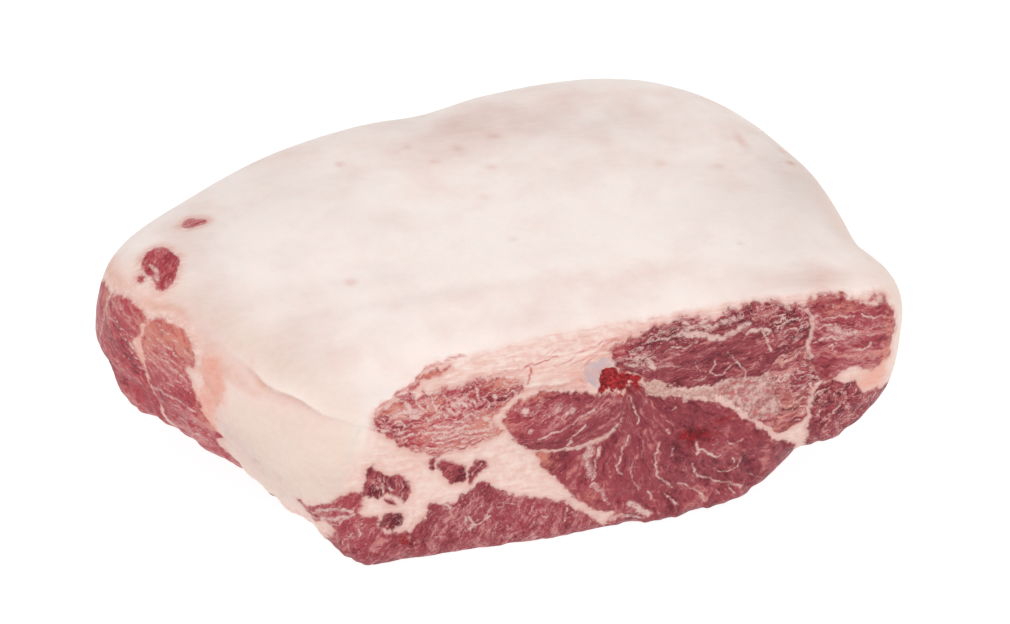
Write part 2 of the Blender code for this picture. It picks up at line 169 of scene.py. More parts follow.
# ---- map of the cut face ------------------------------------------------------------------------
# A muscle's outline, the direction that its fibres run in (degrees from X, or else the point that
# they fan out from), how drawn out they are, how marbled it is (0 to 1), its tone (-1 dark to 1
# light), how salmon it is (0 to 1), and how far it stands out of the fat round it. Muscles run on
# below what shows, round to the underside.
Muscle = namedtuple("Muscle", "outline grain stretch marbling tone salmon bulge")
FACE_MUSCLES = {
    "upper_left": Muscle(((-58.6, 66.5), (-58.3, 69.5), (-56.5, 71.5), (-54.7, 74), (-50.5, 76),
        (-47, 77.8), (-44.8, 78.6), (-43.6, 76.6), (-42.5, 75), (-41, 76.2), (-40.3, 78), (-39, 76.8),
        (-36, 77.3), (-33.3, 79.2), (-31.6, 78.8), (-30.9, 77.2), (-29, 77.3), (-26, 78.5), (-23.3, 79.4),
        (-20.4, 80.2), (-17, 79.2), (-14, 78.6), (-10.4, 78.8), (-7, 77.6), (-4, 75.2), (-4, 71.2),
        (-7.6, 69.4), (-11, 67.4), (-14, 65.2), (-14.8, 61), (-13.8, 58), (-11, 56), (-14, 54.5),
        (-18.3, 53.7), (-22.6, 52.3), (-28.3, 51.2), (-33.3, 50.5), (-37, 50), (-39.4, 50.5), (-40.6, 52),
        (-44.7, 53), (-47, 55), (-49.8, 56), (-50.5, 58), (-53.3, 60), (-55.4, 62.3),
        (-57.2, 64.4)), 14, 3.0, 0.74, 0.66, 0.16, 0.5),
    "eye": Muscle(((-11.6, 60), (-11, 63), (-9.6, 65.5), (-5, 68.4), (-0.5, 69.2), (4.3, 69.8), (9.3, 69.4),
        (14.3, 68), (18.6, 67.2), (22, 66), (26, 65), (30, 64.6), (34, 62), (33, 55), (30, 49.6),
        (26.4, 46), (20, 44.4), (14, 43.8), (8, 43.9), (2, 44.4), (-2, 45.6), (-5, 49), (-8, 53),
        (-10.5, 56.8)), 28, 3.5, 0.26, 0.05, 0.0, 0.9),
    "main": Muscle(((0.2, 43.8), (4, 43), (10, 42.8), (16, 42.6), (22, 43.5), (27, 45.6), (30.5, 49.2),
        (33, 54), (32.8, 62.2), (35.4, 65.8), (39, 67), (42, 65.2), (44, 62.4), (47, 60.6), (50, 60.6),
        (54, 59.4), (58, 57.6), (63, 56.2), (68, 54.2), (72, 52), (75, 49.4), (78, 46.2), (81.6, 43.6),
        (84.6, 40.2), (88, 37.8), (90.2, 34.6), (92.5, 32), (96, 29.2), (99.4, 27.6), (101.8, 25.4),
        (102.4, 21), (106, -6), (31, -6), (30, 9.5), (26, 10.5), (23, 12), (20, 14.2), (16.5, 18),
        (14.3, 21.4), (12.8, 24.4), (10.6, 27.4), (7.8, 31), (5.4, 34), (2.8, 37.6),
        (1.2, 41)), (34, 74), 4.0, 0.12, -0.12, 0.0, 0.8),
    "lower": Muscle(((-47.2, 15.5), (-46, 19), (-43.4, 20.2), (-43, 21.6), (-41.2, 21.4), (-40.8, 24),
        (-40.4, 27), (-39.2, 28.2), (-37, 27.6), (-35, 26.8), (-32.6, 26.4), (-31, 25.6), (-29.6, 27.4),
        (-27, 29.8), (-25, 31), (-23, 32.7), (-20.8, 34.6), (-18.6, 34), (-16.4, 32), (-14.3, 29.4),
        (-11.4, 27.4), (-8.6, 26.2), (-5, 24.8), (-0.8, 23.4), (2.9, 22.2), (5, 21.2), (7.2, 19.2),
        (11, 17.6), (15, 14.4), (18, 11.8), (21, 9.6), (23.5, 7.4), (24, 5), (25, -6), (-48, -6),
        (-47.6, 10)), 62, 2.5, 0.38, 0.52, 0.0, 0.6),
    "near_corner": Muscle(((-85.5, 25), (-82.6, 27.3), (-77.6, 30.6), (-74, 33.4), (-70.4, 36.4),
        (-67, 38.3), (-65.2, 37.6), (-64.7, 34.6), (-64.3, 31.4), (-65.8, 28), (-63.5, 26), (-61, 26.4),
        (-59, 25), (-59.3, 22), (-58.2, 19), (-55, 16.8), (-51.2, 16), (-47.4, 14.6), (-46, -6), (-78, -6),
        (-76.6, 9), (-75.8, 14), (-74, 18), (-77, 20.6), (-80, 20),
        (-82.6, 22)), 48, 3.0, 0.3, 0.35, 0.05, 0.5),
    "dark_knob": Muscle(((-58.4, 22), (-57.6, 25), (-54.8, 26.8), (-51.9, 26.4), (-49.5, 24.3),
        (-49.7, 21.4), (-51.5, 18.8), (-54, 18), (-57, 18.8),
        (-58.8, 20.2)), 60, 2.0, 0.4, -1.15, 0.0, -0.8),
    "patch_left": Muscle(((-62, 47.6), (-60.6, 49), (-58.4, 46.6), (-55.4, 44.8), (-53.3, 43.6),
        (-51, 43.8), (-49, 43), (-47.4, 40.6), (-46.6, 38), (-47.2, 34.3), (-47.9, 31.6), (-49.2, 31),
        (-49.4, 35.4), (-51, 34), (-52.6, 34.8), (-54.7, 35.8), (-57, 35.2), (-59, 34.8), (-62, 35.4),
        (-64.6, 35.6), (-63.6, 39.3), (-62.8, 43.6)), 72, 3.0, 0.5, -0.45, 0.0, -0.5),
    "patch_left_drop": Muscle(((-56.8, 33), (-54.4, 33), (-52.6, 30.8), (-54.2, 30),
        (-56, 31.4)), 60, 2.0, 0.3, -0.3, 0.0, -0.3),
    "patch_right": Muscle(((-35.6, 48), (-33, 46.8), (-28.6, 44), (-25.6, 42.6), (-25.2, 39.4),
        (-25.6, 36.4), (-28.6, 35.5), (-31, 36), (-33.4, 38), (-35, 41.6),
        (-35.8, 44.4)), 40, 3.0, 0.25, -0.7, 0.0, -0.4),
    "patch_right_fork": Muscle(((-24.6, 40.2), (-23.2, 43), (-21.4, 44.8), (-19.3, 44.6), (-18, 41.8),
        (-19.8, 39.4), (-22, 37.8), (-24.2, 35), (-25.2, 35)), 45, 4.0, 0.4, -0.35, 0.0, -0.4),
    "patch_right_tip": Muscle(((-39.6, 47.4), (-38, 49), (-36.6, 47.4), (-37, 45),
        (-38.6, 44)), 60, 2.0, 0.5, -0.4, 0.0, -0.2),
    "upper_right": Muscle(((27.8, 83.6), (29.3, 85), (32.9, 85.6), (36.4, 86.8), (41, 86.6), (46.4, 87.2),
        (50, 88.4), (54, 89.6), (58, 88.6), (62, 88.2), (66, 88.4), (70.7, 89.6), (74.3, 90.8), (80, 91.2),
        (85.7, 91.5), (90.7, 91.2), (95, 90), (100, 88.9), (103, 86.8), (105, 82.9), (105.3, 79),
        (104.6, 75), (103.8, 71), (98, 70.6), (93.6, 69.4), (91.6, 67), (90, 64.8), (88.4, 62.8),
        (85.7, 61.8), (82, 61.8), (79.3, 62.5), (75, 62.8), (71.4, 62.4), (68, 61.2), (63.6, 61.6),
        (59.3, 61.8), (55, 62.4), (50.4, 63), (48.4, 65), (45.4, 67), (41.4, 67.4), (40.4, 69.2),
        (38.2, 71.1), (36, 72.8), (32.8, 73.9), (30.6, 76.2), (30.4, 78.6),
        (29, 81)), 12, 3.5, 0.3, -0.28, 0.0, 0.7),
    "upper_fibres": Muscle(((40, 88.2), (46.4, 88.8), (52.4, 90), (58, 90.8), (62, 90.2), (66, 88.6),
        (60, 86.8), (52, 87.4), (46, 86.8), (41, 86.8)), 8, 7.0, 0.72, 0.45, 0.2, 0.3),
    "rear_fibres": Muscle(((90, 66), (94, 70.4), (98, 70.8), (103.6, 71), (105.2, 67), (106.8, 61),
        (109, 57.4), (107.6, 53.6), (105.8, 50.6), (105, 46), (100, 44.6), (95, 43), (91, 46), (89, 52),
        (88.6, 58), (88.6, 62)), 8, 4.0, 0.7, 0.45, 0.3, 0.2),
    "right": Muscle(((103.4, 88.8), (105.2, 90), (107.3, 90.3), (110, 90.7), (112.6, 91), (115, 90),
        (119.4, 88.5), (123, 87), (126, 85.4), (130, 84), (134.6, 83.6), (136.4, 81.4), (138, 78),
        (138.9, 74), (139, 71), (137.3, 69.6), (136.8, 66), (136.6, 61), (134.4, 59.4), (132, 57.8),
        (128.6, 57.4), (125.4, 58.2), (122.4, 60.6), (119.4, 60), (117, 58), (115.6, 55.8), (113, 54.8),
        (110, 55.6), (107.4, 59), (105.4, 64), (104.8, 70), (105.2, 75), (105.6, 80),
        (104.6, 84)), -8, 5.0, 0.24, 0.66, 0.18, 0.6),
    "right_tip": Muscle(((126.4, 85.6), (129, 86.4), (131.6, 87.2), (134.4, 85.6), (135.8, 83.8),
        (132.6, 84.6), (129.4, 85.2)), 20, 3.0, 0.2, 0.1, 0.1, 0.2),
    "lobe": Muscle(((106.4, 48), (107.6, 51.4), (110, 54), (113, 55.4), (116, 54.8), (118.4, 53),
        (121, 53.4), (124, 52.6), (124.6, 50.4), (125.4, 48.2), (128, 46.8), (131.6, 47.6), (134, 46.4),
        (142, 44), (146, 20), (130, -6), (109, -6), (106.6, 20), (106, 27), (105.4, 32), (105, 36),
        (106, 41), (106.6, 45)), 60, 1.5, 0.5, -0.14, 0.0, 0.6),
    "rear_low": Muscle(((82, 45.8), (86, 44.6), (92, 44), (98, 45.2), (105, 47.4), (105.4, 43), (104, 39.6),
        (100.6, 36.8), (96, 34.8), (92.4, 35), (89.4, 38.2), (86.4, 41.4),
        (83.4, 44)), 12, 4.5, 0.62, 0.75, 0.25, 0.2),
    "cap_sliver": Muscle(((-46, 78.2), (-43.4, 80.6), (-40.4, 82.6), (-37, 83.6), (-33.4, 84.4),
        (-29.6, 84.9), (-33.6, 83.2), (-37, 82), (-40.4, 81.4),
        (-43.4, 79.4)), 25, 4.0, 0.2, 0.25, 0.1, -0.3),
}

# Seams of connective fat that cross the muscles: points, half width, strength.
Seam = namedtuple("Seam", "points width strength")


def seams_of(*rows):
    return tuple(Seam(*row) for row in rows)


FACE_SEAMS = seams_of(
    # the eye of lean
    (((-1, 44.4), (4, 43.6), (10, 43.2), (15, 43.4), (19, 44.2)), 0.45, 0.9),
    (((16, 43), (20, 43.6), (24.4, 44.6), (27.2, 46.6), (29.6, 49.2)), 1.0, 1.0),
    (((1, 51.6), (4.3, 52.4), (8.6, 53.6), (12, 55), (15.6, 57), (18.6, 58.8),
        (21.8, 60.4)), 0.5, 0.95),
    (((12.4, 45.4), (13.8, 48.6), (16, 51.4), (18.8, 54.6)), 0.38, 0.85),
    (((12.2, 45), (13.2, 47.4)), 0.85, 0.85),
    (((-4, 51), (1, 50.4), (6, 51.6)), 0.35, 0.45),
    (((8.2, 63.2), (9.2, 64.2)), 1.3, 0.8),
    (((12.4, 61.2), (14.2, 62)), 1.1, 0.95),
    (((-4.6, 64.2), (-2.8, 64.8)), 1.4, 0.8),
    (((-2.2, 54.8), (-1.2, 55.6)), 0.9, 0.75),
    (((5, 60.8), (5.6, 61.2)), 0.6, 0.8),
    # the main muscle: rings, then its lower edge
    (((24.4, 42), (23.2, 37.6), (22.4, 33.6), (22.2, 29.2)), 0.55, 0.9),
    (((20.6, 41.6), (20, 37.6), (20.2, 33.6), (20.6, 31)), 1.7, 0.72),
    (((21.4, 26.2), (23, 24.6), (24.8, 22)), 1.3, 0.95),
    (((24.8, 22), (26.6, 18.6), (28, 15)), 0.9, 0.7),
    (((35, 46.6), (34.4, 44.4), (32.9, 40.7), (31.8, 37), (30.9, 33), (31.4, 30),
        (32.6, 28.6)), 0.42, 0.9),
    (((36.6, 35), (36.2, 29), (37, 24.6), (39.6, 20.6)), 0.35, 0.6),
    (((46.6, 41), (45.8, 36), (45.4, 31), (46, 28), (47.2, 25), (49.4, 22), (52.2, 18.8)), 0.5, 0.95),
    (((54.6, 19.6), (58, 17.2), (60.8, 15), (63.6, 12.2), (66, 8.8)), 0.48, 0.9),
    (((51.9, 37.4), (51.4, 34.4)), 0.5, 0.8),
    (((49.6, 46), (50.3, 44.6)), 0.7, 0.8),
    (((50.6, 31), (50.2, 27.4), (51, 24.4)), 0.32, 0.45),
    (((61.2, 38.4), (62.2, 35.6), (64.4, 34.2), (66.4, 32), (68.6, 29.8), (70.6, 29.6)), 0.48, 0.95),
    (((61.4, 33), (62, 35.4)), 0.65, 0.9),
    (((60.4, 29), (60.4, 26), (61.2, 23.6), (63, 21.4), (65.8, 20), (68.6, 18), (72.2, 16.4),
        (76.4, 14.6), (80.4, 12.4)), 0.55, 0.8),
    (((70.4, 22.4), (74.3, 21.2), (77.1, 21.6), (78.4, 23.8), (79.4, 27)), 0.45, 0.75),
    (((73, 35.6), (76, 34.6), (79.4, 35.8)), 0.6, 0.55),
    (((75.8, 27.6), (76.6, 25.4), (76.2, 23.6)), 0.4, 0.6),
    (((66, 26.4), (68.6, 24.4), (70, 22.6)), 0.35, 0.5),
    (((82, 17.4), (86, 15.4), (89, 13)), 0.4, 0.5),
    (((75.4, 14), (76.2, 11.6), (77.4, 9.6)), 0.45, 0.85),
    (((43.4, 19.2), (44.2, 16.6), (44.4, 14.4)), 0.55, 0.9),
    (((50.4, 15.4), (52.6, 12), (55, 8.4)), 0.55, 0.8),
    (((70, 12.6), (71.6, 10.2)), 0.4, 0.6),
    (((36.6, 13), (40, 11), (43.4, 7.4)), 1.7, 0.95),
    (((30, 7.6), (36, 6.6), (41, 5.4)), 1.0, 0.75),
    # the main muscle: its top, and the fan of lines from the bone
    (((35.4, 63), (36.4, 60.6), (37.2, 58.4), (38.8, 54.6), (38.6, 51)), 0.42, 0.75),
    (((40, 56.4), (41, 58.6), (41.8, 61.4)), 0.3, 0.5),
    (((56.6, 58), (58, 56.6)), 0.5, 0.7),
    (((51.8, 54), (53, 55.2)), 0.5, 0.6),
    (((24, 62), (28, 56), (31.6, 50.6)), 0.3, 0.35),
    (((39.4, 47), (40.6, 41), (40, 35)), 0.32, 0.4),
    (((55.6, 34), (56.4, 29), (58.4, 24)), 0.32, 0.4),
    (((66.6, 46), (72, 41.4), (77, 38.6)), 0.3, 0.35),
    (((27.6, 38), (27.4, 33), (28.2, 28)), 0.32, 0.35),
    # the lower muscle
    (((-17, 17.4), (-20.4, 15.6), (-22.4, 15), (-24.2, 13.6), (-24.6, 11.6)), 0.6, 1.0),
    (((-25.4, 18), (-24.4, 15.6), (-22.6, 14.8)), 0.5, 0.9),
    (((-27, 19.6), (-26.2, 16.4), (-25.6, 13)), 0.4, 0.65),
    (((-34.6, 25.4), (-33.4, 26.2), (-31.8, 24.6), (-32.8, 24), (-34.4, 24.8)), 0.4, 0.8),
    (((11.2, 8.6), (11.6, 10.4), (12.2, 12), (13, 14)), 0.45, 0.9),
    (((14.8, 12.6), (13.6, 11.6)), 0.35, 0.7),
    (((-14.8, 20.4), (-12.6, 20.6)), 0.4, 0.8),
    (((-12.8, 22.6), (-10, 22.4), (-7.4, 21.4)), 0.35, 0.7),
    (((-15.2, 13.4), (-15, 9), (-15.6, 6)), 0.35, 0.6),
    (((-8.6, 15.6), (-7, 18.4)), 0.3, 0.6),
    (((2, 14.6), (4.6, 13.4)), 0.4, 0.6),
    (((-38, 11.6), (-34.6, 10.6)), 0.35, 0.6),
    # the near corner
    (((-81, 24.6), (-78.6, 26.6), (-75.4, 28.4), (-72, 29.6), (-68.4, 29.4)), 1.0, 0.8),
    (((-80.4, 21.6), (-77, 22.4), (-73.6, 24.2), (-71, 25.8), (-68.4, 27)), 1.1, 0.8),
    (((-76.2, 19), (-73.4, 21.6), (-70.6, 24.6)), 0.45, 0.75),
    (((-66.2, 17.6), (-66, 20), (-65, 23)), 0.42, 0.85),
    (((-68.8, 18.6), (-69.6, 16.4)), 0.4, 0.6),
    (((-77, 6), (-77.6, 12), (-75.8, 17), (-78, 20.6)), 1.0, 0.7),
    # the plugs of lean in the wedge of fat
    (((-57.4, 41), (-56.4, 38.6), (-56.6, 36)), 0.5, 0.85),
    (((-59.2, 40.6), (-59.6, 37.4)), 0.35, 0.6),
    (((-50.4, 36.6), (-49.4, 38.8), (-50, 41)), 0.4, 0.6),
    (((-54.6, 38), (-53, 36.6)), 0.5, 0.7),
    (((-23.6, 38.4), (-21.6, 41), (-20, 43)), 0.4, 0.75),
    # the upper muscle: a net of fine lines
    (((65.8, 66.8), (68, 69.2), (68.6, 71.6)), 0.4, 0.9),
    (((66, 67), (69, 66), (71.4, 65.2), (72.6, 67), (74.4, 68.8), (76.6, 69.8)), 0.34, 0.85),
    (((76.6, 69.8), (78.6, 68), (80, 65.8), (80.4, 63)), 0.36, 0.85),
    (((60.8, 73), (62, 70), (62.2, 68.4)), 0.35, 0.7),
    (((72.9, 75.8), (74, 73.6), (75, 71.4), (76.6, 69.8)), 0.3, 0.6),
    (((60, 66), (63, 64.6), (66, 66.8)), 0.32, 0.6),
    (((80, 65.8), (84, 67.4), (86, 70)), 0.28, 0.45),
    # the upper muscle: its bar, bands and rim
    (((86.2, 82.4), (87.4, 79.4), (88.2, 76), (89, 73.4)), 0.5, 1.0),
    (((80, 82), (82.6, 83.4), (85, 83), (87.8, 82), (88.6, 80.6)), 0.75, 0.95),
    (((57, 86), (60, 85.4), (64, 84.4), (67.4, 83), (70.4, 82), (73.6, 83.4), (77, 85),
        (80.4, 85.8)), 1.15, 0.95),
    (((42, 84.6), (48, 85.4), (54, 86), (58, 88)), 0.5, 0.7),
    (((56, 89.4), (62, 87.4), (68, 87), (75, 88.6)), 0.8, 0.75),
    (((51, 81.6), (56, 81), (61, 82.4)), 0.45, 0.7),
    (((30, 86.4), (38, 88.4), (46, 89.6), (54, 91)), 0.5, 0.5),
    # the upper muscle: flecks at its left tip
    (((39, 80), (41, 79), (42.4, 77), (44, 75.4)), 1.1, 0.85),
    (((34, 77.4), (36.6, 76), (38.8, 76.4)), 0.7, 0.75),
    (((43, 74.4), (45.4, 73.6)), 0.9, 0.8),
    (((47, 72.6), (51, 73), (55, 72)), 0.5, 0.55),
    (((36, 81.4), (39, 81)), 0.6, 0.6),
    # the right muscle
    (((101.6, 89.4), (103.6, 86.4), (105, 83.4), (105.8, 80), (105, 76.4), (104.4, 73), (104.6, 69.6),
        (105.4, 66.6)), 0.8, 0.9),
    (((106.6, 72.8), (109, 74.8), (112, 75), (114.6, 73.6)), 0.45, 0.85),
    (((111.6, 70.4), (112.6, 71.8), (113.6, 69.6), (114.6, 68.4)), 0.38, 0.75),
    (((112, 78.6), (116, 77.4), (119.6, 75.8), (123, 73.6)), 1.6, 0.62),
    (((110, 83.4), (116, 83), (122, 82.6)), 0.3, 0.7),
    (((124, 82), (130, 80), (134.6, 79)), 0.3, 0.7),
    (((127.6, 76.4), (131, 76), (136.6, 75)), 0.4, 0.7),
    (((118, 65.4), (124, 65), (129, 63.6)), 0.3, 0.5),
    (((108, 79), (111, 80.6), (114, 80)), 0.5, 0.6),
    (((116, 70.4), (121, 68.6), (126, 67)), 0.4, 0.5),
    (((127.4, 68.2), (128.2, 69.8)), 0.75, 1.0),
    (((122.6, 67.8), (126, 68)), 0.5, 0.85),
    (((124.4, 86.4), (128, 85.2), (132, 84.8), (135, 84.4)), 0.42, 0.95),
    # the lobe, and edges of other muscles
    (((107, 46), (107.8, 49.4), (110, 51.4), (113, 51.4)), 0.4, 0.75),
    (((106, 41), (107.6, 39.6), (109.6, 40.4), (110, 43.4), (112.6, 45)), 0.32, 0.6),
    (((105.8, 48), (105.6, 42), (105.2, 36), (106, 29)), 0.8, 0.8),
    (((80.4, 45.8), (83, 42.8), (85.6, 40.4), (88.8, 38), (92.4, 34.8)), 0.8, 0.75),
    (((-25.2, 42.4), (-25.4, 39), (-25.2, 36)), 0.4, 1.0),
    (((-37, 45), (-36.2, 48)), 0.5, 0.9),
    (((15.4, 17.4), (18, 14.4), (20.8, 11.6), (23.6, 9.4), (26.6, 7.4), (31, 6.4)), 1.1, 1.0),
)
# Curls and streaks of fat in the marbled muscle at the upper left: points, half width.
CURL_STRENGTH = 0.88
CURLS = (
    (((-54, 73.6), (-51.6, 75.2), (-48, 75.6)), 0.8), (((-51, 69.6), (-48, 71.2), (-45.6, 71)), 0.9),
    (((-47, 74.4), (-45.4, 72), (-43.4, 70.4)), 1.0), (((-45.6, 69.6), (-43.6, 68.4), (-42, 69.6)), 1.2),
    (((-56.4, 68.4), (-54.6, 67.2), (-53, 68.4)), 0.5), (((-55.6, 64.6), (-54, 63.2), (-53.4, 65)), 0.5),
    (((-52, 66.4), (-50.4, 67.8), (-48.6, 67), (-47.8, 65.4)), 0.5),
    (((-49.8, 62.4), (-47.8, 63.4), (-46, 62.6)), 0.5), (((-47.4, 60), (-45.6, 61.4), (-43.8, 60.6)), 0.45),
    (((-48.6, 57.4), (-46.8, 58.6)), 0.45), (((-45.4, 66), (-43.8, 64.4), (-42, 64.8)), 0.5),
    (((-42.6, 74), (-41.6, 71.6), (-40, 70)), 0.7), (((-40, 67.4), (-38, 66.6), (-36.4, 67.8)), 0.6),
    (((-36, 69.6), (-34, 68.4), (-32.6, 66.6)), 0.6), (((-31.8, 70), (-30, 68.2), (-27.8, 68)), 0.75),
    (((-28.6, 72.4), (-26.4, 71.6), (-25, 69.8)), 0.6), (((-24.6, 73), (-22.6, 71.6), (-21.6, 69.6)), 0.6),
    (((-21, 76), (-20.4, 73.4), (-20.6, 70.6)), 0.6), (((-18.4, 72.6), (-16.8, 70.4), (-17, 68)), 0.5),
    (((-14.6, 72.4), (-13.4, 70.6)), 0.6), (((-25.4, 66), (-22.8, 66.4), (-20.6, 64.6)), 0.6),
    (((-30, 64.8), (-27, 63.8), (-24, 64.4)), 0.5), (((-36.8, 63.6), (-33.6, 62.8), (-30.6, 63.2)), 0.6),
    (((-40.6, 61.4), (-36, 60.6), (-31, 60.8), (-25, 61.4)), 0.6),
    (((-39, 58.2), (-34, 58), (-28, 58.8), (-21, 58.4), (-15, 57)), 0.7),
    (((-37, 56), (-31, 56.4), (-25, 57)), 0.5), (((-27, 54.6), (-21, 55.6), (-15, 55.8)), 0.6),
    (((-40.6, 54.4), (-36.4, 53.2), (-32, 53.6)), 0.5), (((-33.6, 51.6), (-28, 52.4), (-22, 53.6)), 0.5),
    (((-18.6, 64), (-16.6, 62), (-16, 60)), 0.9), (((-11, 71.6), (-8.6, 70.6)), 0.5),
    (((-10.6, 76.4), (-7.6, 75.6)), 0.5), (((-37.6, 74.6), (-35.8, 72), (-36.4, 70)), 0.6),
    (((-33.2, 75.2), (-31.6, 73.6)), 0.4), (((-26.8, 76), (-24, 75)), 0.4),
)
FACE_SEAMS += seams_of(*((points, width, CURL_STRENGTH) for points, width in CURLS))

# Threads of red and orange that show in the fat.
RED_THREADS = seams_of(
    (((-58, 71), (-56, 74), (-52, 76.4), (-48, 78.4), (-44, 80.8), (-41, 83.3), (-38, 84.8), (-34, 86),
        (-30, 86.8), (-24, 87.6)), 0.55, 0.75),
    (((-38, 86.8), (-30, 88.2), (-22, 87.8), (-14, 89)), 0.7, 0.3),
    (((-24, 86), (-16, 87.4), (-8, 89.4), (0, 90)), 0.6, 0.3),
    (((-16, 80.6), (-10, 80.6), (-5, 80.8), (0, 81.6)), 0.9, 0.6),
    (((-4, 81), (0, 82), (4, 82.8), (9, 83.6)), 0.4, 0.95),
    (((-1.6, 74.6), (-1.2, 78), (-0.6, 81)), 0.55, 0.9),
    (((-5, 72.6), (-3.4, 74.4)), 0.6, 0.8),
    (((2, 84), (8, 86.5), (14, 88), (20, 90), (26, 91)), 0.5, 0.4),
    (((8, 80), (14, 82), (20, 85), (26, 86.6), (32, 87.8), (40, 88.8), (50, 89.8)), 0.6, 0.6),
    (((14, 79.4), (20, 82), (26, 84.8), (30, 86.8), (38, 88)), 0.6, 0.6),
    (((5, 84), (12, 86.4), (18, 88.6), (28, 90), (40, 90.6), (50, 91.4)), 0.5, 0.45),
    (((18, 78), (22, 81.4), (27, 84.6)), 0.7, 0.55),
    (((10, 76), (14, 77.4), (18, 80)), 0.7, 0.35),
    (((-5, 71.4), (0, 71.8), (6, 71.4), (14, 70.6), (19, 69)), 1.3, 0.5),
    (((14, 72), (17, 72.6), (20, 70.6)), 1.0, 0.55),
    (((-40, 50), (-36, 49.4), (-30, 50), (-22, 51)), 0.5, 0.45),
    (((-46.6, 49.4), (-43, 48.4), (-40.4, 47)), 0.5, 0.45),
    (((-28, 49.6), (-20, 50.6), (-14, 49.6), (-9, 46), (-4, 41)), 0.6, 0.35),
    (((-12, 51), (-7, 46.4), (-2, 41), (2, 36)), 0.5, 0.3),
    (((2, 27), (8, 24), (13, 20)), 0.6, 0.35),
    (((-62, 50), (-56, 51.6), (-50, 52), (-46, 51)), 0.8, 0.25),
    (((-57, 29), (-54, 29.4), (-50, 28.6)), 0.5, 0.35),
    (((-46, 26), (-45.4, 22), (-48, 19)), 0.5, 0.45),
)

# Soft-edged areas of a map: the middle, the reach along each axis, and the amount added.
Area = namedtuple("Area", "place reach amount")


def areas_of(*rows):
    """Areas from rows of numbers, with two axes or three."""
    return tuple(Area(row[:len(row) // 2], row[len(row) // 2:-1], row[-1]) for row in rows)


TONE_AREAS = areas_of(
    (-52, 64, 6, 6, -0.55), (-45, 58, 5, 4, -0.4), (-34, 66, 7, 5, 0.15), (-27, 59, 12, 3, 0.45),
    (-17, 71, 4, 5, -0.45), (-27, 75, 9, 3, -0.3), (-12, 72, 5, 3, -0.35), (0, 50, 7, 4, -0.2),
    (4, 58, 6, 3, 0.1), (58, 41, 6, 4, -0.45), (70, 42, 8, 5, -0.15), (52, 52, 9, 4, -0.1),
    (84, 87, 4, 2.6, -0.75), (76, 69, 8, 5, -0.35), (97, 74, 5, 3, -0.45), (66, 75, 6, 4, -0.2),
    (57, 83, 5, 2, -0.3), (46, 78, 5, 4, 0.15), (33, 83, 4, 2.5, 0.3), (112, 64, 2.4, 5, -0.6),
    (111, 58, 2.4, 4, -0.55), (125, 69.4, 2.4, 1.6, -0.6), (108, 85, 3, 4, -0.2),
    (111, 48, 3.5, 3.5, -0.5), (-20, 30, 5, 4, -0.65), (-33, 17, 5, 6, -0.2), (-19, 11, 4, 3, 0.3),
    (0, 16, 8, 5, 0.1), (-70, 33, 5, 3, 0.1), (-66, 13, 6, 5, 0.15), (-78, 25, 4, 3, 0.45),
    (30, 10, 5, 3, 0.15), (52, 10, 6, 3, -0.15), (95, 23, 6, 6, -0.25), (83, 31, 6, 6, -0.1),
    (30, 58, 6, 6, 0.12), (29, 21, 5, 5, 0.2), (104, 53, 3, 4, 0.1), (96, 37.4, 3, 1.5, -2.2),
    (99, 45, 5, 0.8, -1.2),
)
SALMON_AREAS = areas_of(
    (-37, 72, 2.4, 4, 0.6), (-28, 59, 12, 2.6, 0.4), (-28, 53, 8, 1.6, 0.45),
    (-51, 72.6, 3, 2.4, 0.7), (-9, 76.4, 5, 1.8, 0.95), (-42, 66, 3, 3, 0.15), (-16, 58, 4, 5, 0.7),
    (4, 68.6, 12, 0.8, 0.45), (32, 83, 4, 3, 0.1), (3.4, 41, 2.4, 3, 0.85), (6, 36, 1.8, 3, 0.45),
    (20, 18, 3, 4, 0.35), (27, 8, 4, 2, 0.55), (134.6, 63, 0.9, 3.4, 1.3), (136.4, 76, 1.8, 6, 0.45),
    (132, 52, 5, 3, 0.9), (-38, 83, 4, 1.2, 0.7), (98, 47, 5, 3, 0.45), (112, 87.4, 6, 2, 0.25),
    (120, 86, 5, 1.6, 0.3), (-19, 11, 4, 3, 0.3), (-83, 25, 2.6, 2, 0.25),
)
MARBLING_AREAS = areas_of(
    (-34, 68, 8, 6, 0.1), (-17, 72, 6, 5, -0.2), (-4, 64, 2.4, 1.8, 0.35), (10, 62, 4, 2.2, 0.3),
    (2, 60, 8, 5, 0.1), (66, 88, 14, 2.6, 0.4), (92, 88, 8, 3.4, 0.38), (99, 82, 5, 6, 0.38),
    (94, 80, 4, 4, 0.25), (42, 76, 5, 4, 0.45), (36, 80, 4, 3, 0.3), (50, 84, 8, 3, 0.2),
    (117, 76, 7, 4, 0.45), (36, 66, 5, 4, 0.1), (38, 9, 7, 3, 0.4), (60, 38, 10, 5, 0.08),
    (-22, 17, 5, 4, 0.15), (120, 45, 6, 8, 0.15), (110, 84, 4, 4, 0.15), (82, 16, 8, 4, 0.1),
    (77, 27, 5, 5, 0.15), (96, 37.4, 3, 1.5, -0.5),
)
VIVID_AREAS = areas_of(
    (-36, 66, 22, 16, 1.1), (-30, 54, 12, 3, 0.4), (-72, 26, 12, 12, 0.55), (-10, 14, 30, 10, 0.25),
    (122, 74, 16, 16, 0.4), (20, 24, 14, 12, 0.25), (4, 58, 10, 6, 0.2), (120, 40, 12, 10, 0.2),
    (32, 83, 5, 4, 0.5), (96, 82, 8, 6, 0.25), (78, 40, 10, 6, 0.15), (62, 10, 20, 5, 0.25),
)
